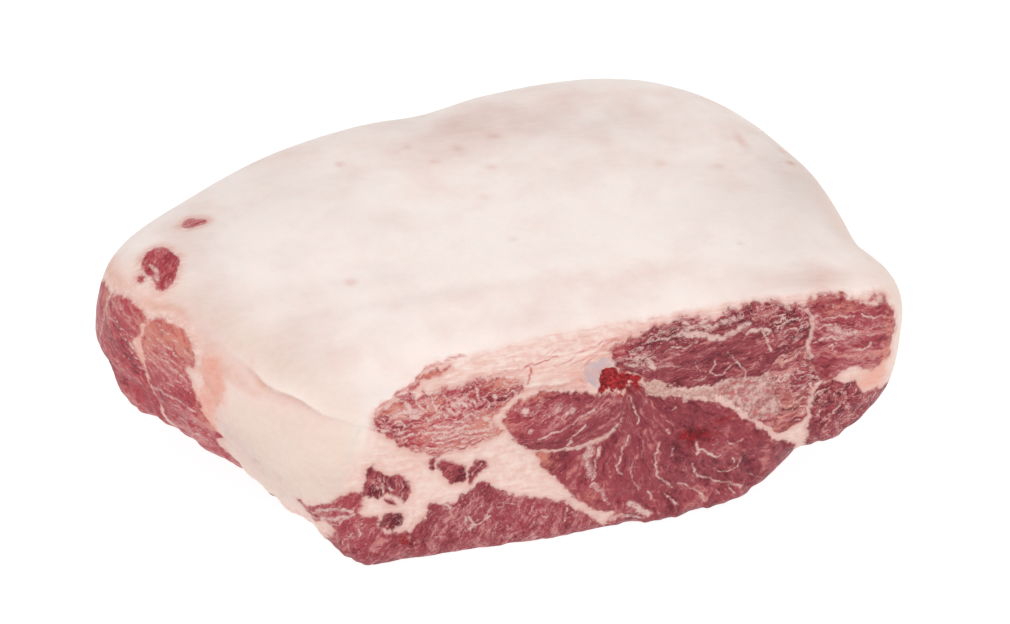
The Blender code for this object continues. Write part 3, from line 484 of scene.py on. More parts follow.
# Where the fat is flushed orange-pink, on the cut face and on the near end.
FLUSH_AREAS = areas_of(
    (129.6, 52, 3.8, 3.6, 1.15), (134.5, 62, 1.2, 6, 0.7), (15, 76, 6, 3, 0.4), (-2, 79.5, 8, 2, 0.4),
    (24, 82.6, 5, 2, 0.55), (18.4, 71.6, 3.4, 3, 0.6), (46, 64, 6, 3, 0.3), (29, 81, 5, 1.6, 0.35),
    (-44, 50, 6, 3, 0.3), (10, 28, 8, 6, 0.25), (100, 42, 6, 4, 0.35),
)
END_FLUSH_AREAS = areas_of(
    (12.4, 75, 3.2, 4, 1.0), (15.4, 68, 3, 4.4, 1.25), (12, 60, 4, 5, 0.55), (9.5, 50, 3.5, 9, 0.75),
    (-17.5, 72, 3, 12, 1.0), (-46, 74, 5, 12, 0.6), (-15, 50, 2, 10, 0.35),
)
BLOOD_AREAS = areas_of(
    (33, 66, 8, 4, 0.35), (40, 71, 4, 3, 0.3), (59, 42.4, 4, 2, 0.95), (63, 39.6, 4, 2.4, 0.45),
    (70, 45, 6, 3, 0.25), (-50, 12.6, 3.4, 2, 0.85), (-44, 10.8, 4, 1.2, 0.45), (73, 46, 3, 1.5, 0.35),
    (112, 60, 1.8, 3, 0.2), (105, 65, 1, 0.8, 0.7),
)

# Looks of the bone, each laid over those before: its outline on the cut face, where its edge begins
# and is full, how far it stands out, the pattern that shades it and that pattern's spread, its two
# colours, and its spots: the mask and the colour of each kind.
BoneLook = namedtuple("BoneLook", "outline edge relief pattern spread colours spots", defaults=((),))
BONE_LOOKS = {
    "dense": BoneLook(
        ((42.6, 65.6), (45, 66.6), (48.6, 64.8), (50.4, 62.6), (54, 61.4), (58, 60.8), (63, 60.2),
        (68, 60.6), (73, 61), (73, 57), (68, 56), (63, 57), (58, 58.4), (54, 60), (48, 61.2),
        (45, 61.6), (43.2, 63.6)),
        (-1.3, -0.1), 0.2, "pits", 0.14, ((0.460, 0.225, 0.195), (0.640, 0.420, 0.360))),
    "spongy": BoneLook(
        ((68, 60.8), (72, 62), (76, 62.6), (79.6, 61.8), (84, 61.2), (88, 61.6), (91, 62), (92, 56),
        (93, 50), (95, 45.6), (91, 43), (87, 42.6), (83.4, 43.4), (80.6, 46.6), (77, 50.6), (73, 54),
        (69, 56.6)),
        (-0.8, 0.4), -0.5, "coarse", 0.14, ((0.400, 0.140, 0.130), (0.690, 0.450, 0.400)),
        (("red_spots", (0.500, 0.100, 0.100)), ("pale_clots", (0.660, 0.440, 0.410)))),
    "cartilage": BoneLook(
        ((19.4, 75.6), (20.6, 78), (23.6, 79.6), (27, 80.3), (29.6, 78.6), (29, 76.4), (25.4, 75.6),
        (24.8, 71.4), (23.8, 68), (21.6, 69), (20, 72.4)),
        (-1.6, 1.0), 0.9, "soft", 0.28, ((0.500, 0.415, 0.450), (0.650, 0.400, 0.370))),
    "marrow": BoneLook(
        ((25.4, 75.4), (28, 76.6), (30.2, 76), (31.4, 73.6), (35, 72), (38.4, 70.8), (40.4, 68.8),
        (38.8, 66.2), (36.4, 66.4), (35, 65.2), (34, 63.4), (31.6, 64.6), (27.4, 64.8), (24.6, 66.4),
        (24.8, 69.6), (25.2, 72.6)),
        (-0.4, 0.8), -1.3, "pits", 0.14, ((0.140, 0.005, 0.009), (0.570, 0.038, 0.042)),
        (("dark_clots", (0.100, 0.008, 0.012)),)),
}

# ---- map of the near end ------------------------------------------------------------------------
END_RUN = np.array([0.342, -0.940])      # direction in X and Y that E runs in
END_MUSCLES = {
    "far_strip": Muscle(((-37, 84.4), (-40, 85.4), (-45, 83), (-52, 80), (-62, 74), (-72, 64), (-72, 44),
        (-60, 38), (-50, 46), (-46.6, 58), (-43.6, 63), (-40.4, 70), (-38.2, 77),
        (-36, 83)), 62, 5.0, 0.12, -0.1, 0.02, 0.5),
    "far_bundle": Muscle(((-34.6, 84), (-32, 86.4), (-28, 87.6), (-24, 88), (-19, 87.4), (-15.6, 85.6),
        (-14.8, 83), (-16.6, 80.6), (-17.4, 77), (-19.6, 73.4), (-22, 70.6), (-20.6, 67.4), (-19, 64),
        (-18, 59), (-17.2, 54), (-16.8, 47), (-17, 41), (-19, 30), (-19, -6), (-60, -6), (-48, 46),
        (-46, 57), (-43, 63.6), (-40, 70), (-37.8, 77), (-35.6, 82)), -26, 8.0, 0.2, 0.42, 0.05, 0.9),
    "near_bundle": Muscle(((-13, 84.6), (-9, 86.6), (-3, 86.2), (1.4, 84.4), (4.6, 81.6), (6, 77),
        (6.4, 72.4), (3.6, 70.6), (2.8, 68.6), (4.4, 66), (5, 62), (6.4, 58), (7.6, 53), (9.6, 49),
        (11.8, 45), (10.6, 41), (8, 36), (6, 31), (8, -6), (-15, -6), (-16.2, 34), (-15.8, 46), (-16, 53),
        (-16.6, 60), (-16.6, 66), (-16.8, 73), (-15.4, 79)), -24, 8.0, 0.22, 0.58, 0.12, 0.8),
}
END_SEAMS = seams_of(
    (((-35.4, 84.6), (-37.6, 79), (-40, 71.6), (-43, 65), (-46, 59)), 0.7, 0.75),
    (((-36, 74), (-31, 75.2), (-26, 74), (-22, 72)), 0.6, 0.75),
    (((-33, 83), (-30.5, 79), (-27, 75.5)), 0.4, 0.6),
    (((-26, 83.6), (-21, 81.6), (-17, 79.5)), 0.6, 0.75),
    (((-27, 71), (-23.4, 68.4), (-19, 66.6)), 0.8, 0.85),
    (((-25, 66.4), (-21.6, 64), (-18, 62)), 0.6, 0.8),
    (((-28, 61), (-23, 60), (-18, 58.6)), 0.5, 0.7),
    (((-39, 66), (-34, 64.4), (-31, 61)), 0.45, 0.5),
    (((-34, 57), (-29, 53), (-24, 50)), 0.45, 0.5),
    (((-42, 60), (-38, 54), (-35, 47), (-33, 40)), 0.5, 0.5),
    (((-13.4, 81), (-7, 78.6), (-1, 75.4), (5, 71.6)), 0.45, 0.75),
    (((-10, 84.6), (-4, 82.4), (1, 79.4), (5.4, 76)), 0.45, 0.7),
    (((-14.4, 77), (-8, 74.6), (-2, 71.4), (3, 68.4)), 0.45, 0.7),
    (((-14.6, 72.6), (-8, 70.4), (-2, 67.6), (4, 64)), 0.45, 0.7),
    (((-15, 67.4), (-9, 65.6), (-2, 63), (4, 59.5)), 0.45, 0.65),
    (((-15, 62), (-8, 60.5), (-1, 58)), 0.4, 0.55),
    (((-15, 51.4), (-11, 52.4), (-6, 52.6), (-1, 52), (4, 50.4)), 0.9, 0.85),
    (((-15, 56.4), (-9, 56), (-3, 54.6)), 0.35, 0.6),
    (((-15, 44.6), (-7, 44.8), (2, 42.6)), 0.5, 0.65),
    (((-14, 39), (-6, 39.5), (4, 36)), 0.7, 0.6),
    (((-12, 35), (-4, 35), (4, 32)), 0.9, 0.6),
    (((-8, 48.6), (-2, 48), (5, 45.4)), 0.35, 0.6),
)
END_TONE_AREAS = areas_of(
    (-28, 80, 6, 6, -0.2), (-30, 62, 6, 8, -0.55), (-22, 48, 5, 8, -0.55), (-3, 58, 6, 4, -0.2),
    (-6, 48, 6, 3, -0.35), (-5, 82, 8, 4, 0.45), (3, 46, 5, 10, 0.15), (-42, 50, 4, 6, -0.4),
    (-22, 65, 3, 4, 0.35), (-6, 33, 9, 5, 0.45),
)
END_SALMON_AREAS = areas_of(
    (-4, 82, 8, 3.6, 0.75), (-13, 76, 3, 6, 0.45), (9, 47, 3, 8, 0.55), (-38, 80, 4, 5, 0.6),
    (-21, 66, 3, 5, 0.5), (2, 73, 4, 6, 0.2),
)

# ---- map of the cap, from above: X and Y --------------------------------------------------------
CAP_PATCHES = {
    "false_lean": Muscle(((-129, -15), (-128, -11), (-125, -8), (-121, -7.3), (-118.5, -10), (-116.5, -13),
        (-115, -17), (-116.5, -22), (-118.5, -27), (-122, -29), (-125.5, -28), (-125.5, -24.5),
        (-126.5, -21.5), (-128.5, -18.5)), 60, 3.0, 0.3, 0.45, 0.0, -0.4),
    "false_lean_drop": Muscle(((-131.5, -19), (-130, -18.5), (-128.8, -20), (-129.5, -22),
        (-131, -21)), 60, 2.0, 0.3, 0.7, 0.1, -0.2),
    "streaky_patch": Muscle(((-111.5, 3.5), (-108.5, 7.5), (-105, 7), (-101.5, 4.5), (-102.5, 2), (-106, 1),
        (-109.5, 1.2)), 20, 5.0, 0.55, 0.9, 0.1, -0.2),
}
CAP_SEAMS = seams_of(
    (((-126, -15.5), (-125, -17.5), (-124, -20.5), (-124.5, -23.5)), 0.8, 0.9),
)

# Where the fat is pinker: washes along lines in X, Y and Z, and clouds on the cap in X and Y. Some clouds,
# as on the left front slope and the front rim, are partly painted shade: they darken fat that the light
# leaves too bright.
Wash = namedtuple("Wash", "points reach amount")
PINK_WASHES = tuple(Wash(*row) for row in (
    (((-90, 84, 60), (-50, 96, 48), (-5, 99, 52), (40, 98, 44)), 5.0, 0.8),
    (((50, 97, 66), (85, 88, 58), (112, 72, 62)), 4.0, 0.7),
    (((142, 25, 66), (145, -5, 58), (143, -30, 62)), 4.0, 0.7),
    (((-60, 92, 24), (-20, 97, 20), (30, 97, 22)), 3.0, 0.6),
    (((-142, 6, 88), (-141, -8, 89), (-136, -19, 90), (-129, -30, 88), (-122, -39, 88)), 4.0, 1.9),
    (((-122, -39, 87), (-112, -50, 83), (-104, -60, 78), (-98, -66, 73)), 5.0, 1.25),
    (((-108, -56, 76), (-103, -61, 73), (-97, -66, 71), (-88, -75, 70)), 2.6, 0.7),
    (((-96, -62, 84), (-97, -63, 80), (-94, -67.5, 76.4)), 1.3, 0.9),
    (((-98, -66, 71), (-91, -72, 70.5), (-84, -78, 69.5)), 1.0, 0.55),
    (((-112, -50, 72), (-108, -56, 60), (-106, -58, 46), (-100, -62, 34)), 6.0, 1.05),
    (((-92, -72, 28), (-85, -80, 27), (-79, -86, 28), (-71, -91, 32)), 3.0, 0.8),
    (((-90, -74, 16), (-84, -80, 12), (-78, -86, 8)), 5.0, 1.0),
    (((-55, -89, 75), (-59.5, -90, 65), (-62, -91, 56.5), (-65, -91, 51.5), (-70, -90, 48)), 1.3, 0.9),
    (((139, -86, 88), (141, -84, 70), (138, -84, 56)), 4.0, 0.45),
))
PINK_AND_SHADE_CLOUDS = areas_of(
    (16, 42, 26, 14, 0.45), (-30, 26, 28, 16, 0.25), (70, 30, 30, 22, 0.25), (-78, -62, 14, 7, 0.55),
    (112, 10, 14, 34, 0.25), (60, 62, 50, 10, 0.35), (20, -59, 40, 5, 0.42), (-96, 10, 22, 14, 0.25),
    (106, -76, 14, 5, 0.45), (-60, 44, 22, 8, 0.25), (104, -78, 20, 5, 0.2), (-66, -76, 8, 4, 0.45),
    (-46, -72, 8, 6, -0.5), (-116, -16, 10, 16, 0.45), (-100, -40, 12, 8, 0.3), (-12, 6, 22, 8, 0.35),
    (8, 46, 10, 8, 0.45), (48, -65, 14, 5, 0.35), (117, -79, 10, 5, 0.45), (20, -85, 50, 2.4, 0.3),
    (0, -76, 60, 8, 0.38), (-52, -80, 8, 6, 0.2), (-46, 30, 1.4, 1.4, 0.9), (1, 32, 1.2, 1.6, 0.8),
    (17, 38, 2.0, 1.2, 0.8), (-18, 37, 1.2, 1.2, 0.7), (-10, 24, 1.2, 1.0, 0.8),
    (11, 16, 1.6, 1.6, 0.6), (3, -4, 1.8, 1.8, 0.5), (-57, -45, 1.6, 1.4, 0.9), (7, -33, 1.6, 1.4, 0.6),
    (76, 6, 1.6, 1.6, 0.6), (112, 18, 1.4, 4.0, 1.0), (127.5, 2, 1.4, 1.4, 2.0),
    (127.5, 12, 1.0, 2.0, 1.4), (97, 0, 1.6, 1.2, 0.6), (89, -52, 1.4, 1.2, 0.7),
)
# Painted shade: where the fat is painted darker, in X, Y and Z. It stands in for light that falls off
# towards the back, the ends and the foot of the near end, and it damps the glare on the front slope.
PAINTED_SHADE_AREAS = areas_of(
    (-102, -44, 93, 14, 12, 14, 0.65), (-58, -86, 78, 8, 6, 6, 0.9), (104, -59, 93, 10, 8, 8, 0.5),
    (-78, -62, 90, 12, 12, 12, 0.6), (-110, -14, 98, 9, 14, 12, 0.5), (-50, -46, 97, 30, 6, 10, 0.55),
    (-66, -66, 84, 18, 7, 7, 0.75), (-10, -78, 90, 50, 9, 8, 0.45), (-112, -36, 90, 10, 8, 8, 0.25),
    (-40, -58, 96, 26, 2.6, 8, 0.55), (106, -78, 93, 12, 5, 8, 0.8), (124, -14, 88, 10, 24, 14, 1.4),
    (98, -24, 93, 16, 20, 10, 0.8), (22, 46, 94, 46, 16, 12, 0.9), (-68, 18, 97, 24, 14, 10, 0.75),
    (-96, -10, 98, 18, 16, 10, 0.4), (70, 34, 92, 30, 18, 12, 0.45), (-103, -62, 38, 10, 10, 12, 1.1),
    (-108, -57, 45, 5, 6, 5, 0.7), (-72, -90, 40, 9, 6, 7, 0.7), (-86, -78, 30, 14, 12, 8, 0.5),
    (8, -50, 96, 20, 8, 8, 0.25),
)

# ---- where each map holds, and how it fades -----------------------------------------------------
FACE_FRONT = (54, 60)            # the cut face begins between these, towards the viewer
FACE_LEFT = (-108, -103)         # and between these at the left
END_LEFT = (92, 98)              # the near end begins between these, towards the left
CAP_FLOOR = 84                   # the patches of the cap lie above this height
PINK_CLOUD_HEIGHTS = (78, 86)    # its clouds of pink come in between these
RIM_DEPTH = -84.0                # Y at which the cut face has rolled over into the cap
RIM_GAIN = 0.6                   # past it, each millimetre back counts as this much height
RIM_HEIGHTS = (70, 80)           # and that begins between these heights
EDGE_REACH = 4.0                 # a map's distances are kept out to here
END_FIBRES = 0.5                 # the near end's fibres are coarser by this factor
FAN_RADIUS = 34.0                # where fibres fan out from a point, their spacing is true here
WANDER = ((9.0, 0.30, 0.4), (4.3, 0.22, 1.9), (2.3, 0.14, 4.1))      # size, reach and phase
WANDER_SLANTS = (0.45, -0.35)    # so that it doesn't run along the axes
WANDER_SHIFT = 2.1
PLAIN_MARBLING = 0.35            # of the lean that no map covers
PLAIN_STRETCH = np.array([0.25, 1.0, 1.0])       # and its fibres run along X
END_VIVID = 0.85                 # how vivid the near end's red is

# The pink, fibrous band of fat: its top along X, its left edge along Z, and how it fades out.
BAND_TOP = ((-60, -52, -45, -40, -35, -10, 10, 40, 60, 80, 100, 130),
            (71, 76, 80, 83.5, 86, 88, 90.5, 91, 91.5, 92, 91, 87))
BAND_LEFT = ((0, 34, 48, 56, 80), (-100, -72, -68, -60, -60))
BAND_TOP_FADE = (-1.5, 2.0)
BAND_LEFT_FADE = (-3.0, 3.0)
BAND_RIGHT_FADE = (142, 134)
END_BAND = 0.8                   # on the near end, it is this strong
END_BAND_FADE = (-4.0, -1.5)     # this close to the lean
STREAKS_LEAST = 0.38             # its streaks are weaker low down
STREAK_HEIGHTS = (68, 76)

# Creamy fat: on the left facet, and over the right end.
CREAM_FACET = (96, 114)
CREAM_FACE_LEFT = (-64, -56)
CREAM_RIGHT = (122, 132)
CREAM_RIGHT_HEIGHTS = (96, 80)
CREAM_RIGHT_MOST = 0.8

# ---- relief -------------------------------------------------------------------------------------
SEAM_SINK = 0.30                 # how deep a full seam lies
BULGE_REACH = 2.5                # how far in from its edge a muscle rises
BONE_RISE = (-0.8, 2.0)          # the bone's relief comes in between these depths inside its edge
FOLD_FOOT = ((-112, -43, 89), (-106, -52, 84), (-101, -60, 80), (-97, -64.5, 77.5), (-94.7, -67.8, 75.4),
    (-90.8, -71.7, 73.9), (-86, -75.3, 73.6), (-82.9, -77.9, 72.8), (-79.3, -81.1, 70.9),
    (-76.2, -83.6, 69), (-71.9, -85.5, 67.8), (-66.8, -87.3, 66.4))
FOLD_ROLL = 2.0                  # how far the roll above the fold's foot stands out
FOLD_ROLL_RISE = 2.2             # how far from the foot it is full
FOLD_ROLL_REACH = 7.0            # and how far up it reaches
FOLD_STEP = 0.8                  # how deep its foot lies
FOLD_FOOT_REACHES = (0.9, 2.0)   # above its line and below
FOLD_FOOT_PINK_AND_SHADE = 1.2                  # how much pinker and darker the foot is painted: partly the fat's own pink, partly painted shade in the crease
FOLD_MIDDLE = np.array([-84, -76, 74])
FOLD_REACH = 13.5                # the fold fades out this far from its middle

# The meat's lower edge, as the knife left it: waves with their size, height and phase, the height up
# to which it is uneven along X, and how far it is cut back along X.
EDGE_WAVES = ((31.0, 0.50, 0.7), (17.3, 0.40, 2.9), (9.1, 0.30, 5.0), (4.7, 0.22, 1.1))
EDGE_RUN = np.array([0.75, -0.66, 0.0])          # direction that the waves run in
EDGE_SLANT = 0.05                # how much the waves lean with height
EDGE_TOP = ((-140, -100, -60, 60, 140), (44, 34, 16, 16, 40))
EDGE_CUT = ((-150, -125, -105, -85, -60, -35, 30, 110, 125, 140),
            (2.5, 1.8, 3.2, 0.6, 1.4, 2.8, 1.6, 0.8, 4.0, 5.0))
EDGE_TOP_FADE = (10.0, 0.0)      # how far above its top it has ended
EDGE_FOOT_FADE = (0.0, 2.0)      # the underside stays flat
EDGE_SIDES = (30, 50)            # it ends where the back begins
EDGE_SIDES_TURN = 0.4            # further back at the left than at the right

# Sags and swells of the sides, with their height in millimetres.
DENTS = areas_of(
    (-70, 90, 40, 26, 20, 14, -1.6), (-20, 98, 62, 30, 16, 10, 1.0), (35, 98, 36, 24, 18, 16, -1.8),
    (90, 85, 55, 18, 22, 14, -1.4), (118, 60, 30, 16, 18, 12, 1.0), (145, 0, 55, 12, 22, 12, -1.3),
    (140, 40, 40, 12, 18, 12, 0.9), (-125, 60, 45, 14, 16, 12, -1.2), (-40, 96, 14, 30, 10, 5, -1.5),
    (60, 92, 10, 30, 10, 5, -1.2),
)

RELIEF_INPUTS = {"Lump Height": 0.0005, "Lump Size": 0.040, "Sag Height": 0.0004, "Sag Size": 0.009,
                 "Grain Height": 0.0001, "Grain Size": 0.0016, "Seed": 3.0}
RELIEF_VALUES = ("lean", "relief", "grain")      # what the relief tree reads on the vertices
SEED_SHIFTS = {"Lump": 0.0, "Sag": 5.0, "Grain": 9.0}
BARE_EDGE = (-0.5, 0.8)          # between these depths into the lean, the relief grows rough
FAT_GRAIN = 0.15                 # share of that roughness and grain on the fat
SHARP_EDGE = 48                  # degrees

# ---- colours and patterns -----------------------------------------------------------------------
LEAN_COLOURS = {"dark": (0.125, 0.011, 0.020), "middle": (0.280, 0.043, 0.057),
                "light": (0.545, 0.225, 0.235), "salmon": (0.620, 0.225, 0.165),
                "blood": (0.260, 0.004, 0.010), "clot": (0.090, 0.002, 0.006),
                "vivid": (0.430, 0.052, 0.064)}
FAT_COLOURS = {"face": (0.735, 0.462, 0.400), "face_pale": (0.800, 0.600, 0.535),
               "stained": (0.640, 0.335, 0.290), "streak": (0.720, 0.350, 0.270),
               "seam": (0.560, 0.300, 0.285), "seam_pale": (0.740, 0.520, 0.470),
               # pale_and_highlight: pale lines and pores of the fat, and the painted highlight on the roll
               # above the fold
               "pale_and_highlight": (0.880, 0.770, 0.710), "cream": (0.775, 0.605, 0.525),
               "veil": (0.780, 0.640, 0.605), "rosy": (0.720, 0.430, 0.350),
               # painted shade: the colour that the fat is darkened towards where the light falls off
               "painted_shade_and_mottle": (0.200, 0.105, 0.095), "flush": (0.740, 0.330, 0.255),
               "thread": (0.520, 0.100, 0.100)}

# Patterns: noises about 0. The grain runs along the muscles' fibres, and the curly space is the same
# but warped more. Two spaces are the joint's own, turned (radians) and stretched.
Noise = namedtuple("Noise", "space scale detail roughness distortion", defaults=(2.0, 0.5, 0.0))
NOISES = {
    "ragged": Noise("place", 0.36, 2.5, 0.55),
    "fine": Noise("place", 1.7),
    "broad": Noise("place", 0.055, 3.0),
    "veil": Noise("place", 0.030, 4.0, 0.6, 0.6),
    "wet": Noise("place", 0.35),
    "pits": Noise("place", 0.85, 4.0, 0.7),
    "coarse": Noise("place", 0.42, 4.0, 0.7),
    "soft": Noise("place", 0.15),
    "clots": Noise("place", 0.26, 3.0, 0.6),
    "spots": Noise("place", 0.38, 3.0, 0.6),
    "fibre": Noise("grain", 0.80, 3.0, 0.6),
    "strand": Noise("grain", 2.1, 2.0, 0.6),
    "mottle": Noise("curly", 0.20, 3.0, 0.6),
    "vein": Noise("curly", 0.24, 3.0, 0.55),
    "hair": Noise("curly", 0.60),
    "streak": Noise("drawn_out", 1.0, 5.0, 0.65, 0.8),
    "pores": Noise("brushed", 1.0, 4.0, 0.7),
}
STRETCHED_SPACES = {"drawn_out": ((0, 0.26, 0), (0.08, 0.45, 0.60)),
                    "brushed": ((0, 0, 0.6), (0.10, 0.55, 0.40))}
WARP_SCALE = 0.22                # the warp of the curly space
WARP_REACH = 7.0
GRAIN_WARP = 0.20                # share of the warp that the grain has
CELL_SIZE = 34.0                 # muscles of the sides that no map covers
CELL_DRIFT_SCALE = 0.06
CELL_DRIFT = 14.0                # how far the seams between them wander
VEINS = {"vein": (0.018, 0.30), "hair": (0.008, 0.40)}       # least half width, share that is full
VEIN_WIDTH = 0.050               # how much wider full marbling makes them
MARBLING_COVER = 0.86            # how much of the red they hide
GRAIN_LEAST = 0.60               # how strong the grain is without marbling
GRAIN_BY_MARBLING = 0.5          # and how much full marbling adds

# Masks: the sum of patterns and vertex values, each times its share, from 0 at the low end to the
# most at the high end. Some hold only within another value.
Mask = namedtuple("Mask", "shares low high most within", defaults=(1.0, None))
TONE_SHARES = {"tone": 0.34, "grainy": 1.0, "mottle": 0.8, "ragged": 0.5}
CLOUD_SHARES = {"pink": 1.0, "broad": 1.3}
MASKS = {
    # the lean, and the fat in it
    "inside": Mask({"lean": 1.0, "ragged": 3.2, "fine": 1.2, "fibre": 1.5}, -0.7, 0.7),
    "seam": Mask({"wispy_seam": 1.0}, 0.10, 0.85),
    "hidden_seam": Mask({"cell_edge": 1.0, "ragged": 0.10}, 0.050, 0.012, 1.0, "hidden"),
    "vein": Mask({"fibre": 2.0, "marbling": 0.9}, 0.20, 0.80, 0.90),
    "hair": Mask({"mottle": 3.0, "marbling": 0.8}, 0.15, 0.90, 0.55),
    "fleck": Mask({"fibre": 1.0, "marbling": 0.10}, 0.17, 0.32, 0.55),
    "speck": Mask({"strand": 1.0, "marbling": 0.08}, 0.17, 0.31, 0.45),
    "seam_pale": Mask({"fine": 0.6, "ragged": 1.0, "marbling": 0.2}, -0.10, 0.25),
    "middle": Mask(TONE_SHARES, -0.67, 0.03),
    "light": Mask(TONE_SHARES, -0.02, 0.83),
    "salmon": Mask({"salmon": 1.0, "fibre": 1.8, "mottle": 1.8}, 0.05, 1.05, 0.85),
    "blood": Mask({"blood": 1.0, "ragged": 1.8, "fibre": 1.2}, 0.05, 0.95),
    "fresh": Mask({"mottle": 1.0}, -0.10, 0.10),
    # the fat
    "veil": Mask({"veil": 1.0}, -0.06, 0.16, 0.30),
    "pink": Mask(CLOUD_SHARES, 0.0, 1.1),
    "rosy": Mask(CLOUD_SHARES, 0.8, 2.2),
    "face_pale": Mask({"ragged": 1.0}, -0.20, 0.20),
    "near_lean": Mask({"lean": 1.0, "ragged": 4.0}, -3.0, 0.6),
    "stained": Mask({"lean": 1.0}, -3.9, -1.5, 0.45, "near_lean"),
    "flush": Mask({"uneven_flush": 1.0}, 0.05, 1.0, 0.9),
    "streak": Mask({"streak": 1.0}, 0.02, 0.18, 0.65, "streaks"),
    "pale_line": Mask({"streak": 1.0}, 0.0, -0.14, 0.50, "streaks"),
    "thread": Mask({"uneven_threads": 1.0}, 0.10, 1.1, 0.9),
    "pores": Mask({"pores": 1.0}, -0.15, 0.15, 0.16),
    "fleshy": Mask({"fine": 1.0}, 0.05, 0.30, 0.15),
    # the bone
    "red_spots": Mask({"spots": 1.0}, 0.02, 0.14, 0.75),
    "pale_clots": Mask({"clots": 1.0}, -0.05, -0.20, 0.60),
    "dark_clots": Mask({"clots": 1.0}, -0.02, -0.16, 0.75),
}
WISP_SHARES = {"mottle": 1.1, "fine": 1.2, "strand": 1.0, "ragged": 1.6}
GRAIN_SHARES = {"mottle": 1.6, "fibre": 2.2, "strand": 1.4, "fine": 0.6}
# Painted shade on the fat, from the shade areas, with a little broad and ragged unevenness mixed in.
PAINTED_SHADE_AND_MOTTLE_SHARES = {"shade": 0.16, "broad": 0.08, "ragged": 0.05}
UNEVEN_SHARES = {"ragged": 1.8, "fine": 0.8}
BONE_WOBBLE = {"ragged": 7.5, "fine": 3.5}
ROUGHNESS_SHARES = {"wet": 0.25, "bare_lean": -0.08}
FIBRE_HEIGHTS = {"fibre": 1.1, "strand": 0.7}
HEIGHTS = {"fibres": 1.0, "fine": 0.35, "bare_lean": -0.18, "bone_pits": 2.2}
ROLL_PAINTED_HIGHLIGHT = 0.8                 # painted highlight: how much brighter the roll of fat is painted
FACE_STAIN = 0.60                # how stained the fat of the cut face is next to the lean
ROUGHNESS = 0.485
SHINE = 0.20
BUMP_DEPTH = 0.0006
GLOW_RADIUS = (1.0, 0.45, 0.35)  # how far red, green and blue light spread in the flesh
GLOW_SCALE = 0.0016

Finish = namedtuple("Finish", "node slot material bump glow")
FINISHES = {
    "lean_finish": Finish("lean", "lean", "moist_lean", 0.55, 0.12),
    "fat_cap_finish": Finish("fat_cap", "fat", "firm_fat", 0.45, 0.22),
    "blade_bone_finish": Finish("blade_bone", "bone", "sawn_bone", 0.60, 0.12),
}

# ---- stage --------------------------------------------------------------------------------------
ROOM_BRIGHT_SIDE = (-0.02, -0.62, 0.78)      # direction that most of the soft light comes from
ROOM_CONTRAST = 0.75
LIGHTS = {"key_light": ((-0.22, -0.30, 1.20), (1.1, 0.8)),       # place and size
          "fill_light": ((0.15, -1.3, 0.55), (1.2, 0.7))}
FLOOR_HALF = 12.0
FLOOR_GREYS = (0.16, 0.18)
FLOOR_HAZE_SCALE = 2.0
FLOOR_GLOW = 0.92
FLOOR_ROUGHNESS = 0.9
FLOOR_SHINE = 0.1
WHITE = (1.0, 1.0, 1.0, 1.0)
SENSOR_WIDTH = 36.0


def side_normal(side):
    bearing, tilt = np.radians(side.bearing), np.radians(side.tilt)
    level = np.cos(tilt)
    return np.array([np.sin(bearing) * level, -np.cos(bearing) * level, np.sin(tilt)])


def distance_to_line(points, line):
    """Shortest distance from each point to a line of straight runs."""
    nearest = np.full(len(points), np.inf)
    for start, end in zip(line[:-1], line[1:]):
        run = end - start
        along = np.clip((points - start) @ run / (run @ run), 0.0, 1.0)
        nearest = np.minimum(nearest, np.linalg.norm(points - start - along[:, None] * run, axis=1))
    return nearest


def trimmed_block(rays, sides):
    """Distance from the middle to the block's surface along each ray."""
    pull = {"round": np.zeros(len(rays)), "knife": np.zeros(len(rays))}
    power = {"round": ROUND_POWER, "knife": KNIFE_POWER}
    for side in sides.values():
        facing = np.maximum(rays @ side_normal(side), 0.0)
        pull[side.edge] += (facing / side.distance) ** power[side.edge]
    rounded = pull["round"] ** (KNIFE_POWER / ROUND_POWER)
    return (rounded + pull["knife"]) ** (-1.0 / KNIFE_POWER)


def form_surface(rays, sides, swells, creases):
    """Points on a form: the trimmed block with its swells and creases."""
    points = MIDDLE + rays * trimmed_block(rays, sides)[:, None]
    rise = np.zeros(len(rays))
    for swell in swells.values():
        offset = (points - np.array(swell.place)) / np.array(swell.reach)
        rise += swell.height * np.exp(-0.5 * (offset ** 2).sum(axis=1))
    for crease in creases.values():
        away = distance_to_line(points, np.array(crease.points, float))
        rise -= crease.depth * np.exp(-0.5 * (away / crease.reach) ** 2)
    return points + rays * rise[:, None]


def meat_sides():
    """The sides of the lean: inside the fat, and past the bare sides."""
    return {name: side._replace(distance=side.distance - FAT_DEPTH.get(name, -BARE_REACH))
            for name, side in SIDES.items()}


def rays_to(points):
    """Unit directions from the middle to the points, and how far they are."""
    offsets = points - MIDDLE
    lengths = np.linalg.norm(offsets, axis=1)
    return offsets / lengths[:, None], lengths


def curve_point(before, start, end, after, share):
    """The point at a share of the way from start to end, on a Catmull-Rom curve."""
    return 0.5 * (2 * start + (end - before) * share
                  + (2 * before - 5 * start + 4 * end - after) * share ** 2
                  + (3 * start - before - 3 * end + after) * share ** 3)


def smooth_outline(outline):
    """More points along a closed outline."""
    knots = np.array(outline, float)
    before, end, after = (np.roll(knots, shift, axis=0) for shift in (1, -1, -2))
    rows = [curve_point(before, knots, end, after, step / CURVE_STEPS) for step in range(CURVE_STEPS)]
    return np.stack(rows, axis=1).reshape(-1, 2)


def smooth_line(knots):
    """More points along an open line."""
    knots = np.array(knots, float)
    ends = np.vstack([2 * knots[0] - knots[1], knots, 2 * knots[-1] - knots[-2]])
    rows = [curve_point(*four, step / CURVE_STEPS)
            for four in zip(ends[:-3], ends[1:-2], ends[2:-1], ends[3:]) for step in range(CURVE_STEPS)]
    return np.array(rows + [knots[-1]])


